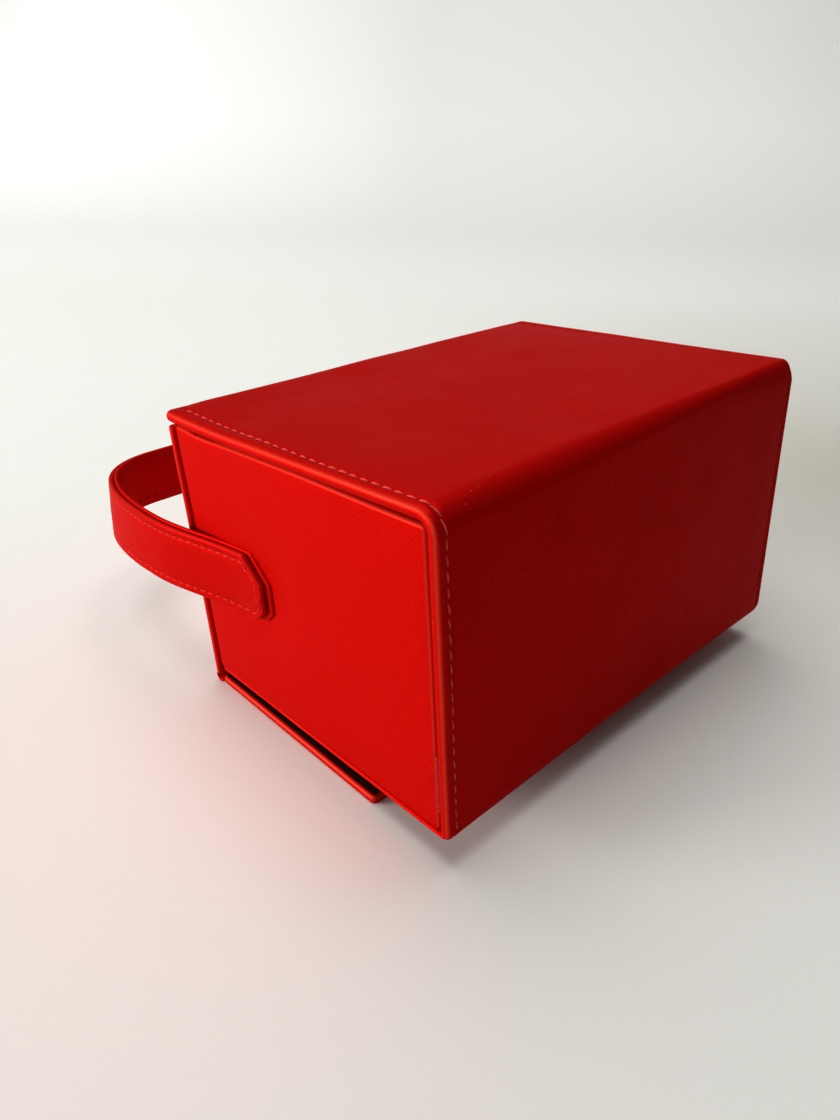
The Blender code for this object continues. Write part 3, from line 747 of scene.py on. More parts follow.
# %% Cloth at the folds
def cloth_strip(name, node, centre, thick, look, seed):
    """A strip along the bag from a centre line of (x, z) in the square frame."""
    centre = [Vector((x, 0.0, z)) for x, z in centre]
    places = [0.0]
    for a, b in zip(centre, centre[1:]):
        places.append(places[-1] + (b - a).length)
    across = []
    for number, point in enumerate(centre):
        along = centre[min(number + 1, len(centre) - 1)] - centre[max(number - 1, 0)]
        across.append((point, Vector((-along.z, 0.0, along.x)).normalized() * (thick / 2), places[number]))
    loop = [(point + side, place) for point, side, place in across]
    loop += [(point - side, place) for point, side, place in reversed(across)]
    rows = []
    count = 48
    for step in range(count + 1):
        y = LID_EDGE + (LENGTH - 2 * LID_EDGE) * step / count
        row = []
        for point, place in loop:
            spot = Vector((point.x, y, point.z))
            spot.z += uneven(spot, 0.012, 0.00005, seed)
            row.append((warped(spot) if spot.z > HEIGHT / 2 else spot, place, y, 0.0))
        rows.append(row)
    made = skin(name, rows, look, None)
    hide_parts(node)
    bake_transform(made)
    print(name, len(made.data.polygons), "faces")
    return made


FOLD_CLOTH_T = 0.00045
lid_centre = [(0.0117 - 0.0006 * step, 0.07895) for step in range(17)]
lid_centre += [(0.0015, 0.07892), (0.0010, 0.07880), (0.0006, 0.07862), (0.0003, 0.07845)]
cloth_strip("lid_fold_skin", "lid_hinge_cloth", lid_centre, FOLD_CLOTH_T, looks["fold"],
            51.0)
fold_r = 0.0019 - FOLD_CLOTH_T / 2
flap_centre = [(FLAP_LINE.x - fold_r, FLAP_LINE.z + 0.0003)]
for step in range(19):
    angle = math.radians(180 + (325 - 180) * step / 18)
    flap_centre.append((FLAP_LINE.x + fold_r * math.cos(angle), FLAP_LINE.z + fold_r * math.sin(angle)))
cloth_strip("flap_fold_skin", "flap_hinge_cloth", flap_centre, FOLD_CLOTH_T, looks["panel"],
            57.0)

# %% [markdown]
# The lining is a tray of thin cloth glued inside, open at the mouth, with a turned hem. One
# closed surface runs up its outside, over the hem and down its inside, and its inner face
# is a little loose. Its corners are soft, as cloth pushed into a corner is.

# %% Lining
LINING_T = 0.0008
LINING_MOUTH = RIM_X + 0.0003
LINING_FLOOR = DEPTH - COVER_T - 0.0003
LINING_Y = 0.0043
LINING_TOP = 0.0784
LINING_LOW = FRONT_RISE + FRONT_T + 0.00015
LINING_CORNER_R = 0.002
LINING_BEND = 0.0025
HEM_R = LINING_T / 2


def lining_ring(x, inset, radius, loose, place):
    width = LENGTH - 2 * LINING_Y
    low = LINING_LOW - (x - RIM_X) * math.tan(FRONT_TILT)
    height = LINING_TOP - LINING_LOW
    row = []
    around = 0.0
    last = None
    for y, z in rectangle_ring(width, height, radius, inset):
        share = 0.5 - z / height
        spot = Vector((x, LENGTH / 2 + y, LINING_LOW + height / 2 + z + (low - LINING_LOW) * share))
        if loose:
            give = abs(uneven(spot, 0.022, 0.0007, 61.0)) * loose
            middle = Vector((spot.x, LENGTH / 2, HEIGHT / 2))
            spot += (middle - spot).normalized() * give
        around += 0.0 if last is None else (spot - last).length
        last = spot.copy()
        row.append((spot, around, place, 0.0))
    return row


lining_profile = [(LINING_FLOOR, inset, LINING_CORNER_R, 0.0)
                  for inset in (0.034, 0.018, 0.008, 0.002, 0.0004)]
lining_run = LINING_FLOOR - LINING_MOUTH - 0.0010
lining_steps = [LINING_FLOOR - 0.0006 - lining_run * share / 14 for share in range(15)]
lining_profile += [(x, 0.0, LINING_CORNER_R, 0.0) for x in lining_steps]
for angle in (-60, -20, 20, 60):
    a = math.radians(angle)
    hem = (LINING_MOUTH + HEM_R * (1 - math.cos(a)), HEM_R * (1 + math.sin(a)))
    lining_profile.append((*hem, LINING_CORNER_R, 0.0))
lining_profile += [(x, LINING_T, LINING_CORNER_R, min(n / 3, 1.0))
                   for n, x in enumerate(reversed(lining_steps[2:]))]
for angle in (20, 45, 70, 90):
    a = math.radians(angle)
    x = LINING_FLOOR - LINING_T - LINING_BEND * (1 - math.sin(a))
    lining_profile.append((x, LINING_T + LINING_BEND * (1 - math.cos(a)), LINING_CORNER_R, 0.8))
lining_profile += [(LINING_FLOOR - LINING_T, inset, LINING_CORNER_R, 0.5)
                   for inset in (0.008, 0.018, 0.028, 0.034)]
place = 0.0
lining_rows = []
for number, (x, inset, radius, loose) in enumerate(lining_profile):
    if number:
        before = lining_profile[number - 1]
        place += math.hypot(x - before[0], inset - before[1])
    lining_rows.append(lining_ring(x, inset, radius, loose, place))
lining = skin("lining_skin", lining_rows, looks["lining"], "box")
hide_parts("inner_lining")
print("lining:", len(lining.data.polygons), "faces")

# %% [markdown]
# The strap is two layers of satin-covered board, sewn together round the edge. It leaves
# the end panel flat, bows out past the corner of the box, and arches across the lid,
# leaning in a little at the top. A curve with a bevel would give it a round section, so the
# section is drawn at every step of the path: two rolled edges, a stitch channel inside each
# and a softly padded middle.

# %% Path of the strap
STRAP_WIDTH = 0.0194
STRAP_EDGE_STEP = 0.0004
STRAP_INNER_T = 0.0010
STRAP_OUTER_T = 0.0015
STRAP_Z = 0.0416
TAB_FACE_Y = 0.0012
TAB_END_X = 0.0372
TAB_STEP = 0.0018
TAB_CHAMFER = 0.0072
TAB_LOW_CHAMFER = 0.0036
TAB_LIFT_X = 0.0303
BOW_X = -0.0125
BOW_OUT = 0.0048
BOW_REACH = 0.74
ARCH_X = -0.0663
ARCH_TURN = 0.0271
ARCH_REACH = 0.58
ARCH_LEAN = 0.0021
LEAN_RUN = 0.090


def bezier(a, b, c, d, steps):
    points = []
    for step in range(steps):
        t = step / steps
        points.append(a * (1 - t) ** 3 + b * 3 * t * (1 - t) ** 2 + c * 3 * t * t * (1 - t) + d * t**3)
    return points


def strap_path():
    """The inner face of the strap in plan, as points in the X-Y plane."""
    tab_y = TAB_FACE_Y
    lift = Vector((TAB_LIFT_X, tab_y))
    bow = Vector((BOW_X, tab_y - BOW_OUT))
    reach = Vector(((TAB_LIFT_X - BOW_X) / 3, 0.0))
    turn = Vector((ARCH_X, bow.y + ARCH_TURN))
    crown = Vector((ARCH_X, LENGTH / 2))
    pull = Vector(((BOW_X - ARCH_X) * BOW_REACH, 0.0))
    push = Vector((0.0, ARCH_TURN * ARCH_REACH))
    half = [Vector((TAB_END_X, tab_y))]
    half += bezier(lift, lift - reach, bow + reach, bow, 30)
    half += bezier(bow, bow - pull, turn - push, turn, 60)
    half += [turn.lerp(crown, step / 20) for step in range(21)]
    return half + [Vector((p.x, LENGTH - p.y)) for p in reversed(half[:-1])]


def measured(points):
    places = [0.0]
    for a, b in zip(points, points[1:]):
        places.append(places[-1] + (b - a).length)
    return places


path = strap_path()
path_places = measured(path)
STRAP_LENGTH = path_places[-1]
print("strap", round(STRAP_LENGTH * 1000, 1), "mm along its inner face")


def path_at(distance):
    """The point and the outward direction at a distance along the path."""
    number = 0
    while number < len(path) - 2 and path_places[number + 1] < distance:
        number += 1
    share = (distance - path_places[number]) / (path_places[number + 1] - path_places[number])
    point = path[number].lerp(path[number + 1], share)
    before = path[max(number - 1, 0)]
    after = path[min(number + 2, len(path) - 1)]
    along = ((path[number + 1] - path[number]).normalized() + (after - before).normalized()).normalized()
    return point, Vector((-along.y, along.x))


def strap_spot(distance, off_face, z):
    """A place on the strap: along it, off its inner face, and up from its middle."""
    point, out = path_at(distance)
    run = min(distance, STRAP_LENGTH - distance)
    lean = ARCH_LEAN * smooth(run / LEAN_RUN) / STRAP_WIDTH
    spot = point + out * (off_face - lean * z)
    return Vector((spot.x, spot.y, STRAP_Z + z))


# %% [markdown]
# Each layer is swept along that path by drawing its section at many places, close together
# near the ends, where the tab's chamfers cut in and its edge rolls over. The upper chamfer is
# twice as long as the lower one. The outer layer stops a little short of the inner one, so
# the inner layer's edge shows round the tab.

# %% Strap layers
STRAP_STITCH_IN = 0.0022
# How strongly a highlight is painted along one line of each rolled edge of the strap's outer layer.
STRAP_EDGE_HIGHLIGHT = 0.35


def strap_section(half, thick, roll, padded):
    """(z, offset, rim) round the strap's section, from the lower edge."""
    if half > 0.0045 and padded:
        inset = [roll * 1.2, 0.0012, 0.0017, STRAP_STITCH_IN, 0.0027, 0.0034, 0.0048, half]
    else:
        inset = [half * share for share in (0.16, 0.26, 0.36, 0.46, 0.56, 0.68, 0.84, 1.0)]
    face = []
    for value in inset:
        dip = 0.00022 * math.exp(-(((value - STRAP_STITCH_IN) / 0.00055) ** 2)) if padded else 0.0
        rise = 0.00010 * smooth((value - 0.003) / 0.005) if padded else 0.0
        face.append((value - half, thick - dip + rise, 0.0))
    edge = []
    for angle in range(-90, 91, 30):
        a = math.radians(angle)
        z = -half + roll * (1 - math.cos(a))
        offset = thick / 2 + (thick / 2 - roll) * math.copysign(1, a) + roll * math.sin(a)
        # One line round each rolled edge carries the rim mark for the painted highlight.
        edge.append((z, offset, STRAP_EDGE_HIGHLIGHT if angle == 30 and padded else 0.0))
    section = edge + face
    section += [(-z, offset, rim) for z, offset, rim in reversed(face[:-1])]
    section += [(-z, offset, rim) for z, offset, rim in reversed(edge)]
    section.append((0.0, 0.0, 0.0))
    return section


def strap_layer(name, node, near_face, thick, step_back, edge_step, look, padded):
    full = STRAP_WIDTH / 2 - edge_step
    roll = thick * 0.42
    ends = [0.0, 0.00012, 0.0003, 0.0006, 0.0012, 0.0020, 0.0030, 0.0040, 0.0050, 0.0060, 0.0068]
    ends += [TAB_CHAMFER, TAB_CHAMFER + 0.0006]
    stops = [step_back + value for value in ends]
    first = stops[-1] + 0.0012
    count = round((STRAP_LENGTH - 2 * first) / 0.0014)
    stops += [first + (STRAP_LENGTH - 2 * first) * step / count for step in range(count + 1)]
    stops += [STRAP_LENGTH - step_back - value for value in reversed(ends)]
    rows = []
    for distance in stops:
        run = min(distance, STRAP_LENGTH - distance) - step_back
        cut = max(TAB_CHAMFER - run, 0.0)
        low_cut = max(TAB_LOW_CHAMFER - run, 0.0)
        thin = math.sqrt(max(1 - (1 - min(run / roll, 1.0)) ** 2, 0.0))
        row = []
        around = 0.0
        last = None
        half = full - (cut + low_cut) / 2
        middle = (low_cut - cut) / 2
        for z, offset, rim in strap_section(half, thick, roll, padded):
            offset = thick / 2 + (offset - thick / 2) * max(thin, 0.08)
            z = z * (1 - 0.3 * roll / half * (1 - thin)) + middle
            spot = strap_spot(distance, near_face + offset, z)
            wobble = uneven(spot, 0.016, 0.00016, 12.0) + uneven(spot, 0.005, 0.00004, 17.0)
            _, out = path_at(distance)
            free = smooth((run - 0.004) / 0.02)
            spot += Vector((out.x, out.y, 0.0)) * wobble * free
            around += 0.0 if last is None else (spot - last).length
            last = spot.copy()
            row.append((spot, distance, around, rim))
        rows.append(row)
    made = skin(name, rows, look, "box")
    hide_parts(node)
    print(name, len(made.data.polygons), "faces")
    return made


strap_layer("strap_inner_skin", "handle_inner_layer", 0.0, STRAP_INNER_T, 0.0, 0.0,
            looks["strap_back"], False)
outer_face = STRAP_INNER_T + GAP
strap_layer("strap_outer_skin", "handle_outer_layer", outer_face, STRAP_OUTER_T, TAB_STEP, STRAP_EDGE_STEP,
            looks["strap"], True)

# %% [markdown]
# One stitch of thread is a small bent capsule: fat in the middle, thin at both ends, where it
# dips into the cloth. A plain cylinder would lie on the cloth like a peg. A few dozen faces
# are enough for a shape that is repeated hundreds of times.

# %% One stitch
STITCH_LONG = 0.0033
STITCH_THICK = 0.00064


def stitch_shape(name, length, thick):
    mesh = bpy.data.meshes.new(name)
    rings = 7
    sides = 6
    points = []
    for r in range(rings):
        share = r / (rings - 1)
        x = (share - 0.5) * length
        lift = thick * (0.55 * math.sin(math.pi * share) - 0.28)
        radius = thick / 2 * (0.45 + 0.55 * math.sin(math.pi * share))
        for s in range(sides):
            angle = math.tau * s / sides
            points.append((x, radius * math.cos(angle), lift + radius * 0.8 * math.sin(angle)))
    faces = [tuple(range(sides))[::-1], tuple(range((rings - 1) * sides, rings * sides))]
    for r in range(rings - 1):
        for s in range(sides):
            after = (s + 1) % sides
            faces.append((r * sides + s, r * sides + after, (r + 1) * sides + after, (r + 1) * sides + s))
    mesh.from_pydata(points, [], faces)
    mesh.shade_smooth()
    return bpy.data.objects.new(name, mesh)


cover_stitch = stitch_shape("cover_stitch", STITCH_LONG, STITCH_THICK)
strap_stitch = stitch_shape("strap_stitch", STITCH_LONG * 0.86, STITCH_THICK * 0.9)
print("one stitch:", len(cover_stitch.data.polygons), "faces")

# %% [markdown]
# Stitches repeat along a line, which is what Geometry Nodes are for. The line is a chain of
# points, each with the direction that its surface faces. The tree turns it into a curve,
# spaces points a pitch apart, lays one stitch on each along the line and square to the
# surface, turns and sizes each a little at random, and realises them.

# %% The stitching tree
STITCH_TURN = 0.07
STITCH_SMALLEST = 0.90
STITCH_LARGEST = 1.08


def stitch_tree():
    tree = bpy.data.node_groups.new("stitch_line", "GeometryNodeTree")
    face = tree.interface
    face.new_socket("Geometry", in_out="INPUT", socket_type="NodeSocketGeometry")
    face.new_socket("Geometry", in_out="OUTPUT", socket_type="NodeSocketGeometry")
    face.new_socket("Pitch", in_out="INPUT", socket_type="NodeSocketFloat")
    face.new_socket("Slant", in_out="INPUT", socket_type="NodeSocketFloat")
    face.new_socket("Seed", in_out="INPUT", socket_type="NodeSocketInt")
    face.new_socket("Stitch", in_out="INPUT", socket_type="NodeSocketObject")
    face.new_socket("Thread", in_out="INPUT", socket_type="NodeSocketMaterial")
    new, link = tree.nodes.new, tree.links.new
    given = new("NodeGroupInput")
    curve = new("GeometryNodeMeshToCurve")
    link(given.outputs["Geometry"], curve.inputs["Mesh"])
    spaced = new("GeometryNodeResampleCurve")
    spaced.mode = "LENGTH"
    link(curve.outputs["Curve"], spaced.inputs["Curve"])
    link(given.outputs["Pitch"], spaced.inputs["Length"])
    facing = new("GeometryNodeInputNamedAttribute")
    facing.data_type = "FLOAT_VECTOR"
    facing.inputs["Name"].default_value = "facing"
    upright = new("FunctionNodeAlignRotationToVector")
    upright.axis = "Z"
    link(facing.outputs["Attribute"], upright.inputs["Vector"])
    tangent = new("GeometryNodeInputTangent")
    along = new("FunctionNodeAlignRotationToVector")
    along.axis = "X"
    along.pivot_axis = "Z"
    link(upright.outputs["Rotation"], along.inputs["Rotation"])
    link(tangent.outputs["Tangent"], along.inputs["Vector"])
    chance = new("FunctionNodeRandomValue")
    chance.data_type = "FLOAT"
    chance.inputs[2].default_value = -STITCH_TURN
    chance.inputs[3].default_value = STITCH_TURN
    link(given.outputs["Seed"], chance.inputs["Seed"])
    total = new("ShaderNodeMath")
    link(chance.outputs[1], total.inputs[0])
    link(given.outputs["Slant"], total.inputs[1])
    twist = new("ShaderNodeCombineXYZ")
    link(total.outputs[0], twist.inputs["Z"])
    turned = new("FunctionNodeRotateRotation")
    turned.rotation_space = "LOCAL"
    link(along.outputs["Rotation"], turned.inputs["Rotation"])
    link(twist.outputs["Vector"], turned.inputs["Rotate By"])
    shape = new("GeometryNodeObjectInfo")
    link(given.outputs["Stitch"], shape.inputs["Object"])
    grown = new("FunctionNodeRandomValue")
    grown.data_type = "FLOAT"
    grown.inputs[2].default_value = STITCH_SMALLEST
    grown.inputs[3].default_value = STITCH_LARGEST
    link(given.outputs["Seed"], grown.inputs["Seed"])
    laid = new("GeometryNodeInstanceOnPoints")
    link(spaced.outputs["Curve"], laid.inputs["Points"])
    link(shape.outputs["Geometry"], laid.inputs["Instance"])
    link(turned.outputs["Rotation"], laid.inputs["Rotation"])
    link(grown.outputs[1], laid.inputs["Scale"])
    real = new("GeometryNodeRealizeInstances")
    link(laid.outputs["Instances"], real.inputs["Geometry"])
    coloured = new("GeometryNodeSetMaterial")
    link(real.outputs["Geometry"], coloured.inputs["Geometry"])
    link(given.outputs["Thread"], coloured.inputs["Material"])
    done = new("NodeGroupOutput")
    link(coloured.outputs["Geometry"], done.inputs["Geometry"])
    return tree


STITCHING = stitch_tree()
print("nodes in the stitching tree:", len(STITCHING.nodes))

# %% [markdown]
# To sew a line, a guide object carries the points and the tree as a modifier. Its inputs are
# set by the sockets' identifiers before Blender first works it out. The result becomes a
# plain mesh, and the guide goes away, so that only real thread is left on the bag.

# %% Sewing
def sew(name, lines, body, stitch, thread, pitch, slant, seed):
    """Sews one piece of stitching: lines are lists of (point, facing) in world places."""
    mesh = bpy.data.meshes.new(name + "_line")
    points = []
    facings = []
    edges = []
    for line in lines:
        start = len(points)
        points += [point for point, _ in line]
        facings += [facing for _, facing in line]
        edges += [(start + n, start + n + 1) for n in range(len(line) - 1)]
    mesh.from_pydata(points, edges, [])
    attribute = mesh.attributes.new("facing", "FLOAT_VECTOR", "POINT")
    attribute.data.foreach_set("vector", [part for facing in facings for part in facing])
    guide = bpy.data.objects.new(name + "_guide", mesh)
    bpy.context.scene.collection.objects.link(guide)
    modifier = guide.modifiers.new("stitching", "NODES")
    modifier.node_group = STITCHING
    inputs = {"Pitch": pitch, "Slant": slant, "Seed": seed, "Stitch": stitch, "Thread": thread}
    for item in STITCHING.interface.items_tree:
        if item.in_out == "INPUT" and item.name in inputs:
            modifier[item.identifier] = inputs[item.name]
    graph = bpy.context.evaluated_depsgraph_get()
    sewn = bpy.data.meshes.new_from_object(guide.evaluated_get(graph))
    bpy.data.objects.remove(guide)
    sewn.name = name
    made = bpy.data.objects.new(name, sewn)
    bpy.context.scene.collection.objects.link(made)
    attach(made, body)
    print(name, len(sewn.polygons), "faces")
    return made


# %% [markdown]
# The cover's two seams run from the nose, over the back, round the fold and down the base.
# The strap's seam runs all the way round its outer layer, and shows again on the inside.

# %% Stitch lines
COVER_PITCH = 0.0036
COVER_SLANT = 0.10
STRAP_PITCH = 0.0031
STRAP_SLANT = 0.06
STITCH_SINK = 0.00002
turn_only = BAG.to_3x3()


def cover_seam(far):
    line, thin = cover_middle(COVER_LENGTH - 0.0048 if far else 0.0040)
    seam = []
    for point, normal, run in line[2:-1]:
        inset = stitch_inset(run)
        point.y = (LENGTH + RIM_OUT - inset) if far else (inset - RIM_OUT)
        spot = warped(point + normal * (thin + cover_swell(point, inset, run) - STITCH_SINK))
        seam.append((BAG @ spot, turn_only @ normal))
    return seam


def strap_seam(side, off_face, outward):
    """One long side of the strap's seam, side being +1 above or -1 below."""
    half = STRAP_WIDTH / 2 - STRAP_EDGE_STEP - STRAP_STITCH_IN
    start = TAB_STEP + TAB_CHAMFER + 0.0004
    seam = []
    count = 220
    for step in range(count + 1):
        distance = start + (STRAP_LENGTH - 2 * start) * step / count
        spot = strap_spot(distance, off_face, side * half)
        _, out = path_at(distance)
        seam.append((BAG @ spot, turn_only @ (Vector((out.x, out.y, 0.0)) * outward)))
    return seam


def tab_seam(off_face, outward):
    """The seam round the chamfered end of the near tab, and its twin at the far one."""
    half = STRAP_WIDTH / 2 - STRAP_EDGE_STEP
    tip = half - TAB_CHAMFER
    low_tip = half - TAB_LOW_CHAMFER
    inset = STRAP_STITCH_IN
    corners = [
        (TAB_STEP + TAB_CHAMFER + 0.0004, -half + inset),
        (TAB_STEP + TAB_LOW_CHAMFER + inset * 0.41, -half + inset),
        (TAB_STEP + inset, -low_tip - inset * 0.41),
        (TAB_STEP + inset, tip + inset * 0.41),
        (TAB_STEP + TAB_CHAMFER + inset * 0.41, half - inset),
        (TAB_STEP + TAB_CHAMFER + 0.0004, half - inset),
    ]
    seams = []
    for far in (False, True):
        seam = []
        for (d0, z0), (d1, z1) in zip(corners, corners[1:]):
            for step in range(8):
                share = step / 8
                distance = d0 + (d1 - d0) * share
                distance = STRAP_LENGTH - distance if far else distance
                _, out = path_at(distance)
                spot = strap_spot(distance, off_face, z0 + (z1 - z0) * share)
                seam.append((BAG @ spot, turn_only @ (Vector((out.x, out.y, 0.0)) * outward)))
        seams.append(seam)
    return seams


sew("near_cover_stitching", [cover_seam(False)], "box", cover_stitch, looks["thread"],
    COVER_PITCH, COVER_SLANT, 4)
sew("far_cover_stitching", [cover_seam(True)], "box", cover_stitch, looks["shaded_seam_thread"],
    COVER_PITCH, COVER_SLANT, 5)
top_face = outer_face + STRAP_OUTER_T - 0.00016
strap_lines = [strap_seam(1, top_face, 1), strap_seam(-1, top_face, 1)] + tab_seam(top_face, 1)
sew("strap_stitching", strap_lines, "box", strap_stitch, looks["strap_thread"],
    STRAP_PITCH, STRAP_SLANT, 9)
under_lines = [strap_seam(1, 0.0, -1), strap_seam(-1, 0.0, -1)]
under_lines = [line[8:-8] for line in under_lines]
sew("strap_under_stitching", under_lines, "box", strap_stitch, looks["shaded_seam_thread"],
    STRAP_PITCH, STRAP_SLANT, 12)

# %% [markdown]
# Low down in the groove beside the base, the satin's cut edge has frayed a little, and pale
# fibres stand out of it. They are laid with the same tree as the stitches: a fine hair in
# place of a stitch, close together, along three short lines with different slants.

# %% Fraying
FRAY_X = 0.0974
FRAY_FROM = 0.0068
FRAY_TO = 0.0220
HAIR_LONG = 0.0011
HAIR_THICK = 0.00008
hair = stitch_shape("fray_hair", HAIR_LONG, HAIR_THICK)
for number, (shift, slant) in enumerate(((-0.0001, 0.35), (0.0001, -0.40), (0.0003, 0.9))):
    hairs = []
    for step in range(31):
        spot = Vector((FRAY_X + shift, 0.00005, FRAY_FROM + (FRAY_TO - FRAY_FROM) * step / 30))
        hairs.append((BAG @ spot, turn_only @ Vector((0.0, -1.0, 0.0))))
    sew("groove_fray_%d" % (number + 1), [hairs], "box", hair, looks["fray"],
        HAIR_LONG, slant, 20 + number)

# %% [markdown]
# The solids that keep their own meshes are small turned or pressed metal, which is what
# their shapes already are. They only need a finish: the rivets and the magnets.

# %% Finishes on the solids that stay
def dress(node, look):
    mesh = frame["nodes"][node].data
    mesh.materials.clear()
    mesh.materials.append(look)


for node in frame["nodes"]:
    if "rivet" in node:
        dress(node, looks["brass"])
    elif "magnet" in node:
        dress(node, looks["steel"])
print("dressed the solids that stay")

# %% [markdown]
# The bag lies on pale paper whose tone drifts over the picture. Each tone belongs to a
# stretch of the paper, by how far across it lies and how far along from the front, and one
# runs softly into the next. The darker tone to the right of the bag, a little way back, is a
# painted shadow of the bag, and the palest, far off at the left, is painted light falling
# from that side. Less light reaches the paper further off, so the tones there go above 1.
# Only camera rays see them, and all other rays meet a plain grey, so the paper looks as
# pale as it should without throwing extra light on the bag.

# %% Tones of the paper
PAPER_MAP = "paper"
NEAR_LEFT = (1.0, 0.94, 0.88, 1.0)
NEAR_RIGHT = (0.93, 0.93, 0.87, 1.0)
MIDDLE_LEFT = (1.02, 1.05, 0.98, 1.0)
# A painted shadow: the bag's soft shadow, to its right and a little way back.
MIDDLE_RIGHT_SHADOW = (0.78, 0.76, 0.66, 1.0)
BACK_LEFT = (1.12, 1.14, 1.06, 1.0)
BACK_RIGHT = (1.12, 1.13, 1.06, 1.0)
# Painted light: far off at the left the paper is palest, as if light falls from that side.
FAR_LEFT = (1.70, 1.72, 1.68, 1.0)
FAR_MIDDLE = (1.34, 1.36, 1.29, 1.0)
FAR_RIGHT = (1.56, 1.58, 1.50, 1.0)


def paper_material():
    made, tree, shader = new_material("paper_sweep")
    link = tree.links.new
    tree.nodes.remove(shader)
    output = tree.nodes["Material Output"]
    laid = add_node(tree, "ShaderNodeUVMap", uv_map=PAPER_MAP)
    parts = add_node(tree, "ShaderNodeSeparateXYZ")
    link(laid.outputs["UV"], parts.inputs[0])
    across, path = parts.outputs["X"], parts.outputs["Y"]
    near = mix_colour(tree, ramp(tree, across, -0.10, 0.06), NEAR_LEFT, NEAR_RIGHT)
    # Across the middle stretch the tone darkens to the right into the painted shadow.
    middle = mix_colour(tree, ramp(tree, across, -0.05, 0.17), MIDDLE_LEFT, MIDDLE_RIGHT_SHADOW)
    back = mix_colour(tree, ramp(tree, across, -0.30, 0.30), BACK_LEFT, BACK_RIGHT)
    far = mix_colour(tree, ramp(tree, across, -0.50, -0.03), FAR_LEFT, FAR_MIDDLE)
    far = mix_colour(tree, ramp(tree, across, 0.0, 0.50), far, FAR_RIGHT)
    tone = mix_colour(tree, ramp(tree, path, -0.04, 0.13), near, middle)
    tone = mix_colour(tree, ramp(tree, path, 0.15, 0.48), tone, back)
    tone = mix_colour(tree, ramp(tree, path, 0.45, 1.15), tone, far)
    place = add_node(tree, "ShaderNodeTexCoord")
    fibre = add_node(tree, "ShaderNodeTexNoise", {"Scale": 420.0, "Detail": 3.0})
    link(place.outputs["Object"], fibre.inputs["Vector"])
    tone = mix_colour(tree, ramp(tree, fibre.outputs["Fac"], 0.3, 0.8, 0.0, 0.03), tone, srgb(200, 192, 184))
    seen = add_node(tree, "ShaderNodeBsdfDiffuse")
    link(tone, seen.inputs["Color"])
    unseen = add_node(tree, "ShaderNodeBsdfDiffuse", {"Color": (0.66, 0.65, 0.64, 1.0)})
    rays = add_node(tree, "ShaderNodeLightPath")
    both = add_node(tree, "ShaderNodeMixShader")
    link(rays.outputs["Is Camera Ray"], both.inputs[0])
    link(unseen.outputs[0], both.inputs[1])
    link(seen.outputs[0], both.inputs[2])
    link(both.outputs[0], output.inputs["Surface"])
    return made


paper_look = paper_material()
print("nodes in the paper's material:", len(paper_look.node_tree.nodes))

# %% [markdown]
# The paper is a sweep: a floor that turns up behind into a wall, so no horizon shows. It is
# one strip of faces, square to the way the camera looks, and its UV map holds the metres
# across it and along its path.

# %% Paper sweep
SWEEP_BACK = 0.75
SWEEP_FRONT = 1.2
SWEEP_RADIUS = 0.9
SWEEP_HALF = 2.2
WALL_HEIGHT = 1.6


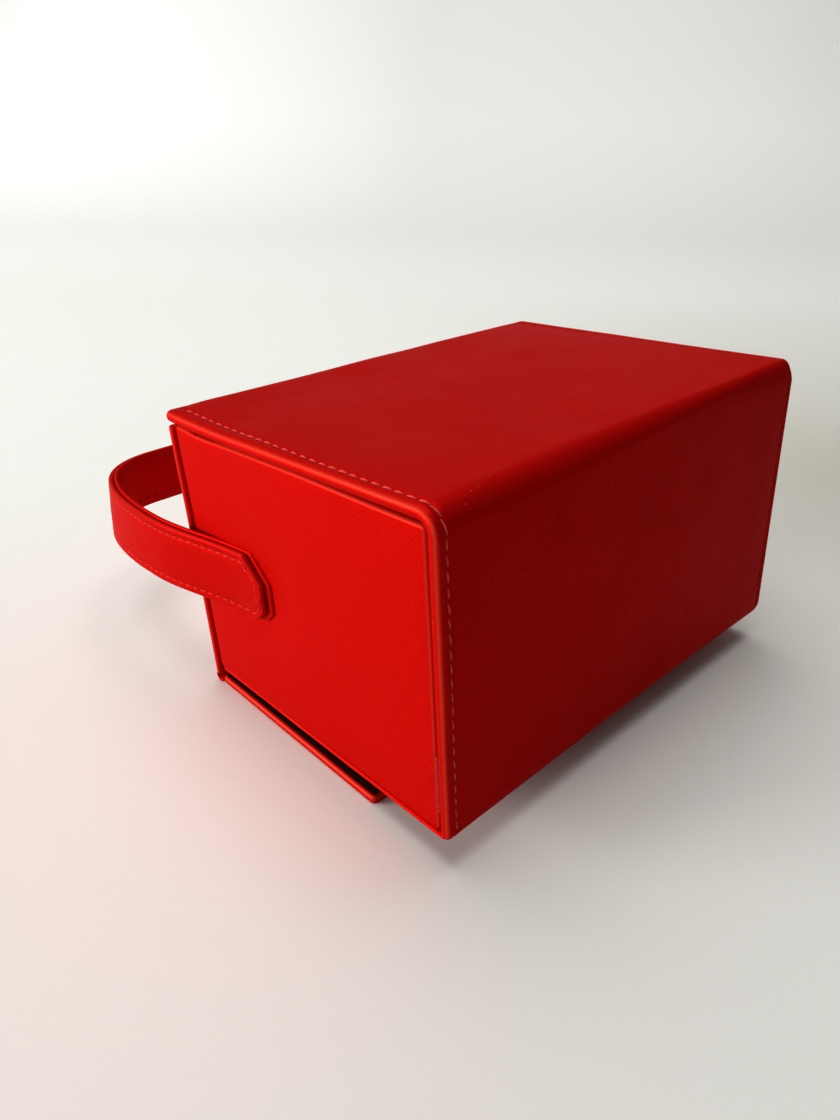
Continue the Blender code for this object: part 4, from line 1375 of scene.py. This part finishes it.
def paper_sweep():
    ahead = Vector((camera.matrix_world.to_3x3() @ Vector((0, 0, -1))).to_2d()).normalized()
    side = Vector((ahead.y, -ahead.x))
    profile = [(-SWEEP_FRONT, 0.0), (0.0, 0.0), (SWEEP_BACK, 0.0)]
    for step in range(1, 17):
        angle = math.radians(90 * step / 16)
        profile.append((SWEEP_BACK + SWEEP_RADIUS * math.sin(angle), SWEEP_RADIUS * (1 - math.cos(angle))))
    profile.append((SWEEP_BACK + SWEEP_RADIUS, SWEEP_RADIUS + WALL_HEIGHT))
    points = []
    laid = []
    path = -SWEEP_FRONT
    last = profile[0]
    for run, z in profile:
        path += math.hypot(run - last[0], z - last[1])
        last = (run, z)
        for across in (-SWEEP_HALF, SWEEP_HALF):
            flat = ahead * run + side * across
            points.append((flat.x, flat.y, z))
            laid.append((across, path))
    faces = [(2 * n, 2 * n + 1, 2 * n + 3, 2 * n + 2) for n in range(len(profile) - 1)]
    mesh = bpy.data.meshes.new("paper_sweep")
    mesh.from_pydata(points, [], faces)
    paper = mesh.uv_layers.new(name=PAPER_MAP)
    for loop, corner in zip(paper.data, mesh.loops):
        loop.uv = laid[corner.vertex_index]
    mesh.shade_smooth()
    mesh.materials.append(paper_look)
    made = bpy.data.objects.new("paper_sweep", mesh)
    bpy.context.scene.collection.objects.link(made)
    print("paper sweep:", len(faces), "faces")


paper_sweep()

# %% [markdown]
# The light is soft and plain white. Two broad lamps hang high, over the bag and over its lid
# side, for the paper and the back panel. The strongest stands low at the near, lid side, where
# the end panel and the strap face it, and a weak one fills in from the near side. The base
# turns away from the strongest, which is why it is so much darker. The room itself is dim.

# %% Light
BAG_MIDDLE = Vector((0.0, 0.0, 0.04))


def lamp(name, place, width, height, watts):
    data = bpy.data.lights.new(name, "AREA")
    data.shape = "RECTANGLE"
    data.size = width
    data.size_y = height
    data.energy = watts
    made = bpy.data.objects.new(name, data)
    bpy.context.scene.collection.objects.link(made)
    made.location = place
    made.rotation_euler = (BAG_MIDDLE - Vector(place)).to_track_quat("-Z", "Y").to_euler()


lamp("overhead", (-0.15, -0.05, 1.30), 1.0, 1.0, 7.2)
lamp("lid_side", (-0.45, 0.15, 1.25), 1.2, 1.2, 4.6)
lamp("near_side", (-0.80, -1.20, 0.22), 0.6, 0.30, 20.5)
lamp("near_front", (0.10, -1.30, 0.45), 0.6, 0.5, 2.7)

room = bpy.data.worlds.new("room")
room.use_nodes = True
bpy.context.scene.world = room
background = room.node_tree.nodes["Background"]
background.inputs["Color"].default_value = (1.0, 1.0, 1.0, 1.0)
background.inputs["Strength"].default_value = 0.035
print("four lamps and a dim room")
